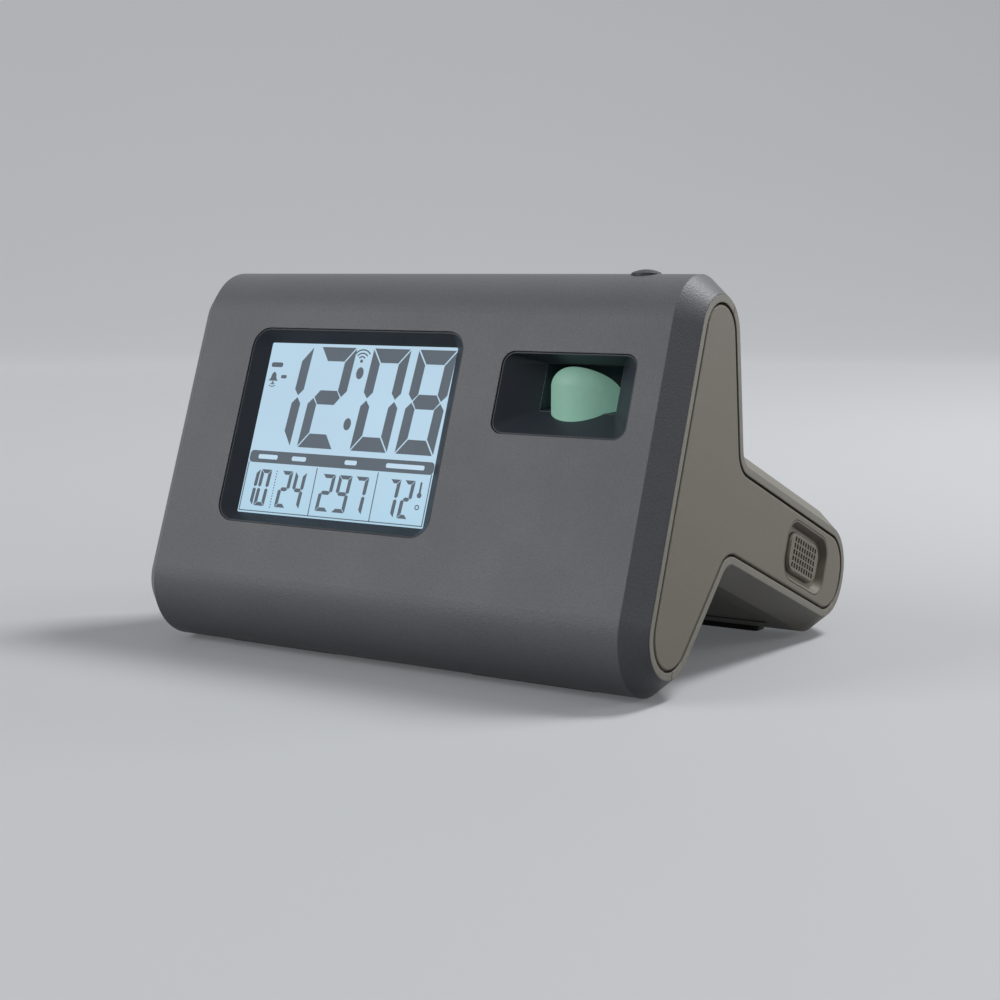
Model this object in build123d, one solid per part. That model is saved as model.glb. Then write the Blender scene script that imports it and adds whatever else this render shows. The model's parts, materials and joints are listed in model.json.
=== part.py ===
"""Projection alarm clock: a leaning slab with a rear leg, an inset display and a swivelling projector.

Row frame, millimetres: +X to the viewer's right, +Y to the back, +Z up.
The origin is at the middle of the footprint, on the surface that the clock stands on.
"""
from build123d import *
import os
from math import acos, cos, pi, radians, sin, tan

# ---- casing: outer form -------------------------------------------------------------
WIDTH = 165.0               # between the two end rims
HEIGHT = 106.1              # top of the casing above the surface
FACE_LEAN = 19.74           # the front face leans back from upright, degrees
BEVEL_RUN = 6.0             # bevel at each end, measured along the width
BEVEL_DEPTH = 5.1           # the same bevel, measured into the profile
TOP_TIP_R = 10.9            # end rim's radius at the top of the slab
BOTTOM_TIP_R = 11.6         # end rim's radius at the foot of the slab
SLAB_CLEARANCE = 0.6        # casing above the surface, under the slab
LEG_CLEARANCE = 1.3         # casing above the surface, under the leg
BACK_TILT = 5.9             # the slab's back leans forward from upright, degrees
LOWER_BACK_SLOPE = 44.2     # slope of the slab's underside behind the foot, degrees
LEG_DROP = 21.5             # the leg falls away to the back, degrees
LEG_THICK = 26.3            # leg between the end rim's two sides
LEG_END_R = 12.6            # corner radius at the leg's end rim
LEG_REACH = 134.1           # end rim's last point, back from the face's foot line
UPPER_NOTCH_R = 5.9         # end rim, in the corner above the leg
LOWER_NOTCH_R = 5.9         # end rim, in the corner below the leg
WALL = 2.2                  # casing wall
SPLIT_DEPTH = 20.6          # front casing's depth behind the face

# ---- end rims and caps --------------------------------------------------------------
RIM_WIDTH = 2.0             # visible rim round each end cap
CAP_GAP = 0.6               # shadow gap between rim and cap
CAP_THICK = 2.2
CAP_EDGE_R = 0.5
LEDGE_WIDTH = 1.2           # ledge that the cap rests on, inside the rim
LEDGE_THICK = 2.0
SEAM = 0.2                  # parting line between the front and rear casings

# ---- display window and display -----------------------------------------------------
WINDOW_OFF = 5.75           # window right of the middle of the space beside the recess
WINDOW_DOWN = 44.87         # window centre down the slope from the casing's top
WINDOW_R = 5.6
VIEW_R = 0.5
VIEW_W = 64.8               # visible display
VIEW_H = 50.3
BEZEL_SIDE = 4.35           # bezel between display and window edge, at each side
BEZEL_RISE = 3.4            # and above and below
VIEW_DEPTH = 3.6            # display glass behind the face
BEZEL_SET = 0.35            # bezel behind the face
BEZEL_FLANGE = 2.2
BEZEL_LAND = 0.35           # flat edge of the bezel round its funnel
FIT = 0.15                  # clearance between fixed pieces that slot together
LCD_MARGIN = 2.2            # glass beyond the visible display
LCD_THICK = 2.4
DIFFUSER_THICK = 3.4
FRAME_WALL = 1.4
BOARD_DEPTH = 14.0          # front of the main board behind the face
BOARD_THICK = 1.6
BOARD_MARGIN = 4.4          # board beyond the display frame
ZEBRA_W = 2.0
LAMP_STRIP_W = 3.0
CHIP_SIDE = 12.0
CHIP_T = 1.8
CRYSTAL_L = 8.0
CRYSTAL_R = 1.4
THERMISTOR_R = 1.3

# ---- projector ----------------------------------------------------------------------
RECESS_IN = 33.8            # recess centre from the right end
RECESS_DOWN = 32.47         # recess centre down the slope from the casing's top
RECESS_W = 40.4
RECESS_H = 22.5
RECESS_R = 3.5
FUNNEL_DEPTH = 8.6
FUNNEL_SIDE = 8.6           # the funnel narrows by this at each side
FUNNEL_FLOOR = 8.75         # and by this at its floor
FUNNEL_CEILING = 0.5        # and by this at its ceiling
FUNNEL_WALL = 1.4
CHAMBER_DEEP = 13.4         # chamber behind the projector's axis
CHAMBER_STEP = 0.15         # chamber inside the funnel's narrow end, all round
CHAMBER_RISE = 6.0          # its floor rises to the back, degrees
NARROW_R = 0.45             # funnel's corner radius at its narrow end
HEAD_OFF = 0.2              # projector's upright axis left of the recess centre
HEAD_BEHIND = 5.65          # and behind the funnel's narrow end
HEAD_R = 9.5
HEAD_UNDER = 0.3            # the head's highest point below the ceiling
HEAD_CROWN_R = 20.0         # radius of the head's domed top
HEAD_PEAK_X = -2.0          # the dome's peak, left of the axis
HEAD_PEAK_Y = -6.0          # and in front of it
HEAD_EDGE_R = 5.0
HEAD_WALL = 1.5
HEAD_SINK = 4.6             # head below the chamber floor
HEAD_GAP = 0.3              # head to the floor's round hole
RUNNING = 0.08              # radial clearance of a running fit
HOUSING_R = 11.6
HOUSING_BORE = 7.4
HOUSING_DROP = 36.4         # housing's lower end below the chamber floor
CARRIAGE_H = 9.0
CARRIAGE_WALL = 1.6
CARRIAGE_UP = 16.0          # carriage above the housing's lower end, at mid travel
LENS_EDGE = 1.6
LENS_BULGE = 1.5
FOCUS_TRAVEL = 2.5          # lens travel each way
SLIDE_SIDE = 10.2
SLIDE_THICK = 1.2
SLIDE_UP = 9.0              # slide above the housing's lower end
LAMP_BOARD_T = 1.2
LAMP_SIDE = 3.2
LAMP_T = 1.0
CONDENSER_UP = 5.0          # condenser's edge above the same
RACK_T = 2.4
RACK_DEEP = 4.0
RACK_LENGTH = 32.0
RACK_SET_Y = 17.5           # rack behind the projector's axis
RACK_ARM_H = 4.0
RACK_TEETH_EACH_WAY = 2
MODULE = 0.8
PINION_TEETH = 12
ADDENDUM = 0.54
DEDENDUM = 0.85
BACKLASH = 0.16
PRESSURE_ANGLE = 20.0
FLANK_STEPS = 4
KNOB_R = 6.0
KNOB_H = 5.0
KNOB_RIBS = 24
KNOB_UP = 24.0              # knob's axis above the carriage's lower end
KNOB_OFF = 0.6              # knob to the casing's back
KNOB_RIB_R = 0.35
SHAFT_R = 1.5

# ---- buttons and switch -------------------------------------------------------------
TOP_BUTTON_IN = 21.9        # button's middle from the right end
TOP_BUTTON_R = 3.9
TOP_BUTTON_PROUD = 1.2
TOP_BUTTON_DOME = 0.9
TOP_BUTTON_TRAVEL = 0.8
TOP_BUTTON_LOW = -4.4       # button's lower end below the casing's top
BUTTON_GAP = 0.3
REAR_BUTTONS = 4
REAR_BUTTON_W = 9.0
REAR_BUTTON_H = 5.0
REAR_BUTTON_PROUD = 1.0
REAR_BUTTON_PITCH = 15.0
REAR_BUTTON_IN = 17.5       # first of the row from the left casing screws
REAR_BUTTON_DOWN = 7.0      # row below the back's upper edge
REAR_BUTTON_TRAVEL = 0.7
BUTTON_FLANGE = 0.9
BUTTON_BOARD_SET = 6.0      # button board behind the back's outer face
SWITCH_STEP = 21.0          # alarm switch from the last of the row
SWITCH_W = 5.0
SWITCH_H = 3.4
SWITCH_TRAVEL = 4.0
SWITCH_PROUD = 1.3
BUTTON_R = 1.2
SWITCH_GROOVE = 1.0
TACT_SIDE = 4.6
TACT_T = 1.6
PRESS_GAP = 0.1             # button to its switch at the end of its travel
PLATE_T = 1.2               # small circuit boards

# ---- leg: base cover, batteries, feet ----------------------------------------------
BASE_IN = 12.9              # base cover's sides from the ends
BASE_START = -50.0          # base cover's front edge along the leg
BASE_END = -6.0             # and its rear edge
BASE_THICK = 2.0
BASE_GAP = 0.4
BASE_SET = 0.3              # cover behind the leg's underside
CELL_R = 7.1
CELL_LENGTH = 49.2
CELL_NUB_R = 2.7
CELL_NUB_H = 1.2
CELL_PITCH = 15.2
TRAY_WALL = 1.4
TRAY_CLEAR = 0.5
SPRING_SPACE = 4.4
SPRING_R = 3.2
SPRING_WIRE = 0.35
SPRING_TURNS = 4
CONTACT_T = 0.3
BASE_R = 2.0
BASE_FLANGE = 2.0
BASE_FLANGE_T = 1.2
DOOR_RIBS = 3
RIB_DEEP = 0.6
FINGER_W = 14.0
DOOR_THICK = 1.6
DOOR_GAP = 0.4
DOOR_LIP = 1.5
DOOR_SEAT = 0.2             # door to the floor of its pocket
DOOR_PIN_R = 0.5
FOOT_LENGTH = 40.0
FOOT_WIDTH = 6.0
FOOT_BEHIND_SEAM = 1.6      # front feet behind the casing's parting line
FOOT_IN = 40.5              # feet's middles from the ends
FOOT_SINK = 1.3
FOOT_R = 1.5

# ---- speaker ------------------------------------------------------------------------
POD_ALONG = -16.0           # pod centre along the leg, from the leg end's centre
POD_W = 30.0
POD_H = 17.4
POD_R = 6.0
POD_DEPTH = 2.0
POD_SLOPE = 1.7             # width of the sloping edge round the pod
PAD_W = 21.4
PAD_H = 11.6
PAD_R = 4.2
PAD_RISE = 1.3
PAD_CHAMFER = 0.6
SLOT_COLUMNS = 9
SLOT_ROWS = 5
SLOT_PITCH = 1.83
SLOT_W = 0.95
SLOT_H = 1.35
POD_PLATE = 1.0
POD_FLANGE = 1.0
SPEAKER_R = 9.0
SPEAKER_T = 3.2
SPEAKER_RIM = 1.0
SPEAKER_DISH = 2.4
CONE_T = 0.4
MAGNET_R = 5.5
MAGNET_T = 3.0

# ---- fasteners ----------------------------------------------------------------------
SCREW_GAP = 0.3             # bosses beside the main board
SCREW_LOW = 27.0            # lower pair of casing screws, up the slope
SCREW_DOWN = 14.22          # upper pair, down the slope from the casing's top
SCREW_R = 1.2
SCREW_HEAD_R = 2.6
SCREW_HEAD_T = 1.8
SCREW_LENGTH = 12.0
BOSS_R = 3.4
PILOT_GAP = 0.05
PILOT_EXTRA = 1.0           # pilot holes past the screws' ends
SCREW_WEB = 2.6             # casing under each screw head
HEAD_ROOM = 0.3
BOSS_WALL = 1.2
POST_R = 1.9
BOARD_SCREW_R = 0.9
BOARD_SCREW_HEAD_R = 1.8
BOARD_SCREW_HEAD_T = 1.2
BOARD_SCREW_LENGTH = 7.0
SLOT_DRIVE_R = 1.0
SLOT_DRIVE_DEEP = 0.7

# ---- worked out from the sizes above -----------------------------------------------
LEAN = radians(FACE_LEAN)
HALF = WIDTH / 2
FLAT_HALF = HALF - BEVEL_RUN
FACE_TOP = HEIGHT / cos(LEAN)               # casing's top, up the slope of the face
TOP_Z = HEIGHT - BEVEL_DEPTH - TOP_TIP_R
TOP_Y = (BEVEL_DEPTH + TOP_TIP_R + TOP_Z * sin(LEAN)) / cos(LEAN)
FOOT_Z = SLAB_CLEARANCE + BEVEL_DEPTH + BOTTOM_TIP_R
FOOT_Y = (BEVEL_DEPTH + BOTTOM_TIP_R + FOOT_Z * sin(LEAN)) / cos(LEAN)
DROP = radians(LEG_DROP)
BACK = radians(BACK_TILT)
UNDER = radians(LOWER_BACK_SLOPE)
LEG_HALF = LEG_THICK / 2
LEG_CORNER = (LEG_HALF - LEG_END_R) * (cos(DROP) + sin(DROP))
LEG_Z = LEG_CLEARANCE + BEVEL_DEPTH + LEG_END_R + LEG_CORNER
LEG_Y = LEG_REACH - LEG_END_R - LEG_CORNER
DEPTH_FRONT = FOOT_Y - BOTTOM_TIP_R - BEVEL_DEPTH
DEPTH_BACK = LEG_REACH + BEVEL_DEPTH
FACE_Y = -(DEPTH_FRONT + DEPTH_BACK) / 2     # the face's foot line in the row frame

FACE = Plane((0, FACE_Y, 0), x_dir=(1, 0, 0), z_dir=(0, -cos(LEAN), sin(LEAN)))
LEG = Plane((0, FACE_Y + LEG_Y, LEG_Z), x_dir=(1, 0, 0), z_dir=(0, sin(DROP), cos(DROP)))
BACK_R = TOP_TIP_R + BEVEL_DEPTH
REAR = Plane(
    (0, FACE_Y + TOP_Y + BACK_R * cos(BACK), TOP_Z + BACK_R * sin(BACK)),
    x_dir=(1, 0, 0),
    z_dir=(0, cos(BACK), sin(BACK)),
)
RECESS_X = HALF - RECESS_IN
RECESS_S = FACE_TOP - RECESS_DOWN
WINDOW_X = (RECESS_X - RECESS_W / 2 - HALF) / 2 + WINDOW_OFF
WINDOW_S = FACE_TOP - WINDOW_DOWN
WINDOW_W = VIEW_W + 2 * BEZEL_SIDE
WINDOW_H = VIEW_H + 2 * BEZEL_RISE
CAP_X = HALF - CAP_THICK                    # back of the cap, front of its ledge
LEDGE_X = CAP_X - LEDGE_THICK
INNER_GROW = BEVEL_DEPTH - WALL
INNER_FLAT = FLAT_HALF - WALL
CAP_GROW = -RIM_WIDTH - CAP_GAP
GLASS_W = VIEW_W + 2 * LCD_MARGIN
GLASS_H = VIEW_H + 2 * LCD_MARGIN
FRAME_W = GLASS_W + 2 * (FIT + FRAME_WALL)
FRAME_H = GLASS_H + 2 * (FIT + FRAME_WALL)
BOARD_W = FRAME_W + 2 * BOARD_MARGIN
BOARD_H = FRAME_H + 2 * BOARD_MARGIN
SCREW_X = BOARD_W / 2 - WINDOW_X + BOSS_R + SCREW_GAP
SCREW_HIGH = FACE_TOP - SCREW_DOWN
REAR_BUTTON_X = REAR_BUTTON_IN - SCREW_X
SWITCH_X = REAR_BUTTON_X + (REAR_BUTTONS - 1) * REAR_BUTTON_PITCH + SWITCH_STEP
TOP_BUTTON_X = HALF - TOP_BUTTON_IN
UNDERSIDE = -(LEG_HALF + BEVEL_DEPTH)       # leg's underside in the LEG plane
BASE_OUT = UNDERSIDE + BASE_SET
BASE_HALF = HALF - BASE_IN
FOOT_X = HALF - FOOT_IN
BASE_MID = (BASE_START + BASE_END) / 2
BASE_LENGTH = BASE_END - BASE_START
BAY_HALF_W = (CELL_LENGTH + CELL_NUB_H + SPRING_SPACE) / 2 + CONTACT_T
BAY_HALF_H = CELL_PITCH / 2 + CELL_R + TRAY_CLEAR
BAY_TOP = BASE_OUT + DOOR_THICK + 2 * (CELL_R + TRAY_CLEAR)
LCD_BACK = VIEW_DEPTH + LCD_THICK
BOARD_BACK = BOARD_DEPTH + BOARD_THICK
SCREW_SEAT = SPLIT_DEPTH + SCREW_WEB
PITCH_R = MODULE * PINION_TEETH / 2
PRESSURE = radians(PRESSURE_ANGLE)
CARRIAGE_BORE = HOUSING_BORE - RUNNING - CARRIAGE_WALL
POD = Plane(
    (HALF, FACE_Y + LEG_Y + POD_ALONG * cos(DROP), LEG_Z - POD_ALONG * sin(DROP)),
    x_dir=(0, cos(DROP), -sin(DROP)),
    z_dir=(1, 0, 0),
)
SPEAKER_FRONT = -POD_DEPTH - POD_PLATE
FUNNEL_S = RECESS_S - RECESS_H / 2 + FUNNEL_FLOOR    # funnel's narrow end, lower edge
CEILING_S = RECESS_S + RECESS_H / 2 - FUNNEL_CEILING
FLOOR_Z = FUNNEL_S * cos(LEAN) - FUNNEL_DEPTH * sin(LEAN) + CHAMBER_STEP
FLOOR_Y = FACE_Y + FUNNEL_S * sin(LEAN) + FUNNEL_DEPTH * cos(LEAN)
CEILING_Z = CEILING_S * cos(LEAN) - FUNNEL_DEPTH * sin(LEAN) - CHAMBER_STEP
HEAD_X = RECESS_X - HEAD_OFF
HEAD_ROW_Y = FLOOR_Y + HEAD_BEHIND
HEAD_TOP = CEILING_Z - HEAD_UNDER
HEAD_LOW = FLOOR_Z - HEAD_SINK
HEAD = Plane((HEAD_X, HEAD_ROW_Y, 0))
HOUSING_BASE = FLOOR_Z - HOUSING_DROP
SLIDE_LEVEL = HOUSING_BASE + SLIDE_UP
CONDENSER_LOW = HOUSING_BASE + CONDENSER_UP
CARRIAGE_LOW = HOUSING_BASE + CARRIAGE_UP
KNOB_Z = CARRIAGE_LOW + KNOB_UP
RACK_ROOT_X = HEAD_X + RACK_T / 2
KNOB_X = RACK_ROOT_X + DEDENDUM + PITCH_R
KNOB = Plane((KNOB_X, HEAD_ROW_Y + RACK_SET_Y, KNOB_Z), x_dir=(1, 0, 0), z_dir=(0, 1, 0))


# ---- helpers ------------------------------------------------------------------------
def crossing(a, b):
    """Point where two lines cross, each given by its normal (ny, nz) and distance."""
    (ay, az, ad), (by, bz, bd) = a, b
    det = ay * bz - az * by
    return ((ad * bz - bd * az) / det, (ay * bd - by * ad) / det)


def through(ny, nz, y, z, out):
    """Line with a unit normal, at a distance out from the point (y, z)."""
    return (ny, nz, ny * y + nz * z + out)


def rounded(points, radii):
    """Face with the given corners, each rounded by its own radius."""
    face = Face(Wire.make_polygon(points))
    for point, radius in zip(points, radii):
        corner = face.vertices().sort_by_distance(point)[0]
        face = face.fillet_2d(radius, [corner])
    return face


def outline(grow, x=0.0):
    """Casing profile at x, grown outwards from the end rim's outline."""
    front = (-cos(LEAN), sin(LEAN), grow - BEVEL_DEPTH)
    back = through(cos(BACK), sin(BACK), TOP_Y, TOP_Z, TOP_TIP_R + grow)
    leg_top = through(sin(DROP), cos(DROP), LEG_Y, LEG_Z, LEG_HALF + grow)
    leg_end = through(cos(DROP), -sin(DROP), LEG_Y, LEG_Z, LEG_HALF + grow)
    leg_under = through(-sin(DROP), -cos(DROP), LEG_Y, LEG_Z, LEG_HALF + grow)
    lower_back = through(sin(UNDER), -cos(UNDER), FOOT_Y, FOOT_Z, BOTTOM_TIP_R + grow)
    lines = [front, back, leg_top, leg_end, leg_under, lower_back]
    corners = [crossing(lines[i], lines[(i + 1) % 6]) for i in range(6)]
    radii = [
        TOP_TIP_R + grow,
        UPPER_NOTCH_R - grow,
        LEG_END_R + grow,
        LEG_END_R + grow,
        LOWER_NOTCH_R - grow,
        BOTTOM_TIP_R + grow,
    ]
    return rounded([(x, FACE_Y + y, z) for y, z in corners], radii)


def span(grow, x0, x1):
    """Prism of the profile between two places across the width."""
    return extrude(outline(grow, x0), x1 - x0, dir=(1, 0, 0))


def taper(grow0, x0, grow1, x1):
    """Straight-sided transition between two profiles."""
    return loft([outline(grow0, x0), outline(grow1, x1)], ruled=True)


def both_ends(shape):
    """The solid and its mirror image at the other end of the clock."""
    return [one(shape), one(shape).mirror(Plane.YZ)]


def slab(plane, x, y, w, h, low, high, r=0.0):
    """Plate on a plane: centre, width and height, then from low to high along its normal."""
    sketch = RectangleRounded(w, h, r) if r else Rectangle(w, h)
    return extrude(plane * Pos(x, y, low) * sketch, high - low)


def disc(plane, x, y, r, low, high):
    """Round plate on a plane."""
    return extrude(plane * Pos(x, y, low) * Circle(r), high - low)


def funnel(plane, big, big_z, small, small_z):
    """Tapering opening between two rounded rectangles: (x, y, w, h, r) each."""
    sections = []
    for (x, y, w, h, r), z in ((big, big_z), (small, small_z)):
        sections.append(plane * Pos(x, y, z) * RectangleRounded(w, h, r))
    return loft(sections, ruled=True)


def beyond_split(depth):
    """Everything further behind the face than depth."""
    reach = 4 * HEIGHT
    return slab(FACE, 0, 0, reach, reach, -reach, -depth)


def one(shape):
    """The single solid of a shape."""
    solids = shape.solids()
    assert len(solids) == 1, f"{len(solids)} solids"
    return solids[0]


def save(shape, name):
    shape.label = name
    export_step(shape, f"parts/{name}.step")


# ---- casing -------------------------------------------------------------------------
def outer_form():
    """The closed outer form: straight in the middle, bevelled at both ends."""
    form = span(BEVEL_DEPTH, -FLAT_HALF, FLAT_HALF)
    for end in both_ends(taper(BEVEL_DEPTH, FLAT_HALF, 0.0, HALF)):
        form += end
    return one(form)


def cavity():
    """Inside of the casing: the hollow, the ledge openings and the cap pockets."""
    hollow = span(INNER_GROW, -INNER_FLAT, INNER_FLAT)
    end = taper(INNER_GROW, INNER_FLAT, -RIM_WIDTH, LEDGE_X)
    end += span(-RIM_WIDTH - LEDGE_WIDTH, LEDGE_X, CAP_X)
    end += span(-RIM_WIDTH, CAP_X, HALF)
    for piece in both_ends(end):
        hollow += piece
    return hollow


def skin():
    """Both casings in one piece, made anew for each piece that is cut from it."""
    return one(outer_form() - cavity())


def rim_zone(x0, x1):
    """The part of both ends that lies inside the rim's outline."""
    return both_ends(span(0.0, x0, x1))


def screw_places():
    """Casing screws: (x, s) on the face plane."""
    return [(side * SCREW_X, s) for side in (-1, 1) for s in (SCREW_LOW, SCREW_HIGH)]


def board_screw_places():
    """Main board screws, in the board's corners."""
    dx = BOARD_W / 2 - POST_R
    ds = BOARD_H / 2 - POST_R
    return [(WINDOW_X + i * dx, WINDOW_S + j * ds) for i in (-1, 1) for j in (-1, 1)]


def front_casing():
    """Front casing with its window, recess, button hole, board posts and screw bosses."""
    shell = skin() - beyond_split(SPLIT_DEPTH - SEAM)
    for zone in rim_zone(LEDGE_X, HALF):
        shell -= zone
    for x, s in board_screw_places():
        shell += disc(FACE, x, s, POST_R, -BOARD_DEPTH, -WALL / 2)
        shell -= disc(FACE, x, s, BOARD_SCREW_R + PILOT_GAP, -BOARD_DEPTH, -WALL - PILOT_EXTRA)
    for x, s in screw_places():
        shell += disc(FACE, x, s, BOSS_R, SEAM - SPLIT_DEPTH, -WALL / 2)
        pilot_end = SCREW_SEAT - SCREW_LENGTH - PILOT_EXTRA
        shell -= disc(FACE, x, s, SCREW_R + PILOT_GAP, -SPLIT_DEPTH, -pilot_end)
    shell -= slab(FACE, WINDOW_X, WINDOW_S, WINDOW_W, WINDOW_H, -2 * WALL, WALL, WINDOW_R)
    shell -= slab(FACE, RECESS_X, RECESS_S, RECESS_W, RECESS_H, -2 * WALL, WALL, RECESS_R)
    for post in top_board_posts():
        shell += disc(post, 0, 0, POST_R, 0, HEIGHT - WALL / 2 - post.origin.Z)
    hole = Plane((TOP_BUTTON_X, FACE_Y + TOP_Y, HEIGHT))
    shell -= disc(hole, 0, 0, TOP_BUTTON_R + BUTTON_GAP, -3 * WALL, WALL)
    return one(shell)


def front_trim(side):
    """Front half of one end rim, with the ledge that its cap rests on."""
    ring = skin() - beyond_split(SPLIT_DEPTH - SEAM)
    return one(ring & rim_zone(LEDGE_X, HALF)[side])


def rear_casing():
    """Rear casing: back of the slab and the leg, with every hole in it."""
    shell = skin() & beyond_split(SPLIT_DEPTH)
    for x, s in screw_places():
        wall = SCREW_HEAD_R + HEAD_ROOM
        post = disc(FACE, x, s, wall + BOSS_WALL, -2 * HEIGHT, -SPLIT_DEPTH)
        shell += post & outer_form() & beyond_split(SPLIT_DEPTH)
        shell -= disc(FACE, x, s, wall, -2 * HEIGHT, -SCREW_SEAT)
        shell -= disc(FACE, x, s, SCREW_R + HEAD_ROOM, -SCREW_SEAT, -SPLIT_DEPTH)
    for x in button_board_posts():
        shell += disc(REAR, x, REAR_BUTTON_DOWN, POST_R, -BUTTON_BOARD_SET, -WALL / 2)
    for x in rear_button_places():
        w = REAR_BUTTON_W + 2 * BUTTON_GAP
        h = REAR_BUTTON_H + 2 * BUTTON_GAP
        shell -= slab(REAR, x, REAR_BUTTON_DOWN, w, h, -2 * WALL, WALL, BUTTON_R)
    w = SWITCH_W + SWITCH_TRAVEL + 2 * BUTTON_GAP
    h = SWITCH_H + 2 * BUTTON_GAP
    shell -= slab(REAR, SWITCH_X, REAR_BUTTON_DOWN, w, h, -2 * WALL, WALL, BUTTON_R)
    shell -= disc(KNOB, 0, 0, SHAFT_R + RUNNING, -HEIGHT / 4, HEIGHT / 4)
    shell -= base_plate(BASE_GAP, UNDERSIDE - WALL, UNDERSIDE + 2 * WALL)
    for foot in front_feet() + rear_feet():
        shell -= foot
    return one(shell)


def end_cap(side):
    """Inset end cap. The right one, side 0, has the opening for the speaker's grille."""
    cap = span(CAP_GROW, CAP_X, HALF)
    edge = cap.faces().sort_by(Axis.X)[-1].edges()
    cap = fillet(edge, CAP_EDGE_R)
    if side == 0:
        cap -= slab(POD, 0, 0, POD_W, POD_H, -2 * CAP_THICK, CAP_THICK, POD_R)
        return one(cap)
    return one(cap).mirror(Plane.YZ)


# ---- display ------------------------------------------------------------------------
def window_bezel():
    """Funnel-shaped frame between the window's edge and the display glass."""
    w = WINDOW_W - 2 * FIT
    h = WINDOW_H - 2 * FIT
    r = WINDOW_R - FIT
    frame = slab(FACE, WINDOW_X, WINDOW_S, w, h, -VIEW_DEPTH, -BEZEL_SET, r)
    fw = WINDOW_W + 2 * BEZEL_FLANGE
    fh = WINDOW_H + 2 * BEZEL_FLANGE
    frame += slab(FACE, WINDOW_X, WINDOW_S, fw, fh, -VIEW_DEPTH, -WALL, WINDOW_R)
    mouth = (WINDOW_X, WINDOW_S, w - 2 * BEZEL_LAND, h - 2 * BEZEL_LAND, r - BEZEL_LAND)
    view = (WINDOW_X, WINDOW_S, VIEW_W, VIEW_H, VIEW_R)
    return one(frame - funnel(FACE, mouth, -BEZEL_SET, view, -VIEW_DEPTH))


def lcd_panel():
    """Display glass: the pair of plates that carries the digits."""
    return slab(FACE, WINDOW_X, WINDOW_S, GLASS_W, GLASS_H, -LCD_BACK, -VIEW_DEPTH)


def lcd_diffuser():
    """Light guide behind the display, short of the lamp's and the connector's edges."""
    w = GLASS_W - LAMP_STRIP_W
    h = GLASS_H - ZEBRA_W - FIT
    x = WINDOW_X + LAMP_STRIP_W / 2
    s = WINDOW_S - (ZEBRA_W + FIT) / 2
    return slab(FACE, x, s, w, h, -LCD_BACK - DIFFUSER_THICK, -LCD_BACK)


def lcd_lamp():
    """Lamp strip at the light guide's left edge."""
    x = WINDOW_X - GLASS_W / 2 + LAMP_STRIP_W / 2
    h = GLASS_H - 2 * ZEBRA_W - 2 * FIT
    return slab(FACE, x, WINDOW_S, LAMP_STRIP_W, h, -LCD_BACK - DIFFUSER_THICK, -LCD_BACK)


def lcd_connector():
    """Elastic strip that joins the display's upper edge to the board."""
    s = WINDOW_S + GLASS_H / 2 - ZEBRA_W / 2
    return slab(FACE, WINDOW_X, s, VIEW_W, ZEBRA_W, -BOARD_DEPTH, -LCD_BACK)


def lcd_frame():
    """Frame that holds display and light guide to the board."""
    outer = slab(FACE, WINDOW_X, WINDOW_S, FRAME_W, FRAME_H, -BOARD_DEPTH, -VIEW_DEPTH)
    w = GLASS_W + 2 * FIT
    h = GLASS_H + 2 * FIT
    return one(outer - slab(FACE, WINDOW_X, WINDOW_S, w, h, -BOARD_DEPTH, -VIEW_DEPTH))


def main_board():
    """Main circuit board behind the display."""
    board = slab(FACE, WINDOW_X, WINDOW_S, BOARD_W, BOARD_H, -BOARD_BACK, -BOARD_DEPTH)
    for x, s in board_screw_places():
        board -= disc(FACE, x, s, BOARD_SCREW_R + FIT, -BOARD_BACK, -BOARD_DEPTH)
    return one(board)


def screw(plane, x, y, seat, r, length, head_r, head_t):
    """Screw whose head faces along the plane's normal; seat is the height of its seat."""
    body = disc(plane, x, y, r, seat - length, seat)
    body += disc(plane, x, y, head_r, seat, seat + head_t)
    recess = plane * Pos(x, y, seat + head_t - SLOT_DRIVE_DEEP)
    for turn in (0, 90):
        bar = Rectangle(2 * SLOT_DRIVE_R, SLOT_DRIVE_R / 2)
        body -= extrude(recess * Rot(0, 0, turn) * bar, 2 * SLOT_DRIVE_DEEP)
    return one(body)


def board_screws():
    """Screws that hold the main board to the front casing's posts."""
    back = Plane(FACE.origin, x_dir=FACE.x_dir, z_dir=-FACE.z_dir)
    sizes = (BOARD_SCREW_R, BOARD_SCREW_LENGTH, BOARD_SCREW_HEAD_R, BOARD_SCREW_HEAD_T)
    return [screw(back, x, -s, BOARD_BACK, *sizes) for x, s in board_screw_places()]


def casing_screws():
    """Screws that pull the rear casing against the front one."""
    back = Plane(FACE.origin, x_dir=FACE.x_dir, z_dir=-FACE.z_dir)
    sizes = (SCREW_R, SCREW_LENGTH, SCREW_HEAD_R, SCREW_HEAD_T)
    return [screw(back, x, -s, SCREW_SEAT, *sizes) for x, s in screw_places()]


def clock_chip():
    """Clock chip on the back of the main board."""
    return slab(FACE, WINDOW_X, WINDOW_S, CHIP_SIDE, CHIP_SIDE, -BOARD_BACK - CHIP_T, -BOARD_BACK)


def crystal():
    """Timing crystal, a small can that lies beside the chip."""
    x = WINDOW_X + CHIP_SIDE
    can = Plane(FACE.from_local_coords((x, WINDOW_S, -BOARD_BACK - CRYSTAL_R)), z_dir=(1, 0, 0))
    return disc(can, 0, 0, CRYSTAL_R, 0, CRYSTAL_L)


def thermistor():
    """Temperature sensor at the board's lower edge."""
    x = WINDOW_X - BOARD_W / 4
    s = WINDOW_S - BOARD_H / 2 + 2 * THERMISTOR_R
    return disc(FACE, x, s, THERMISTOR_R, -BOARD_BACK - 2 * THERMISTOR_R, -BOARD_BACK)


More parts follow.
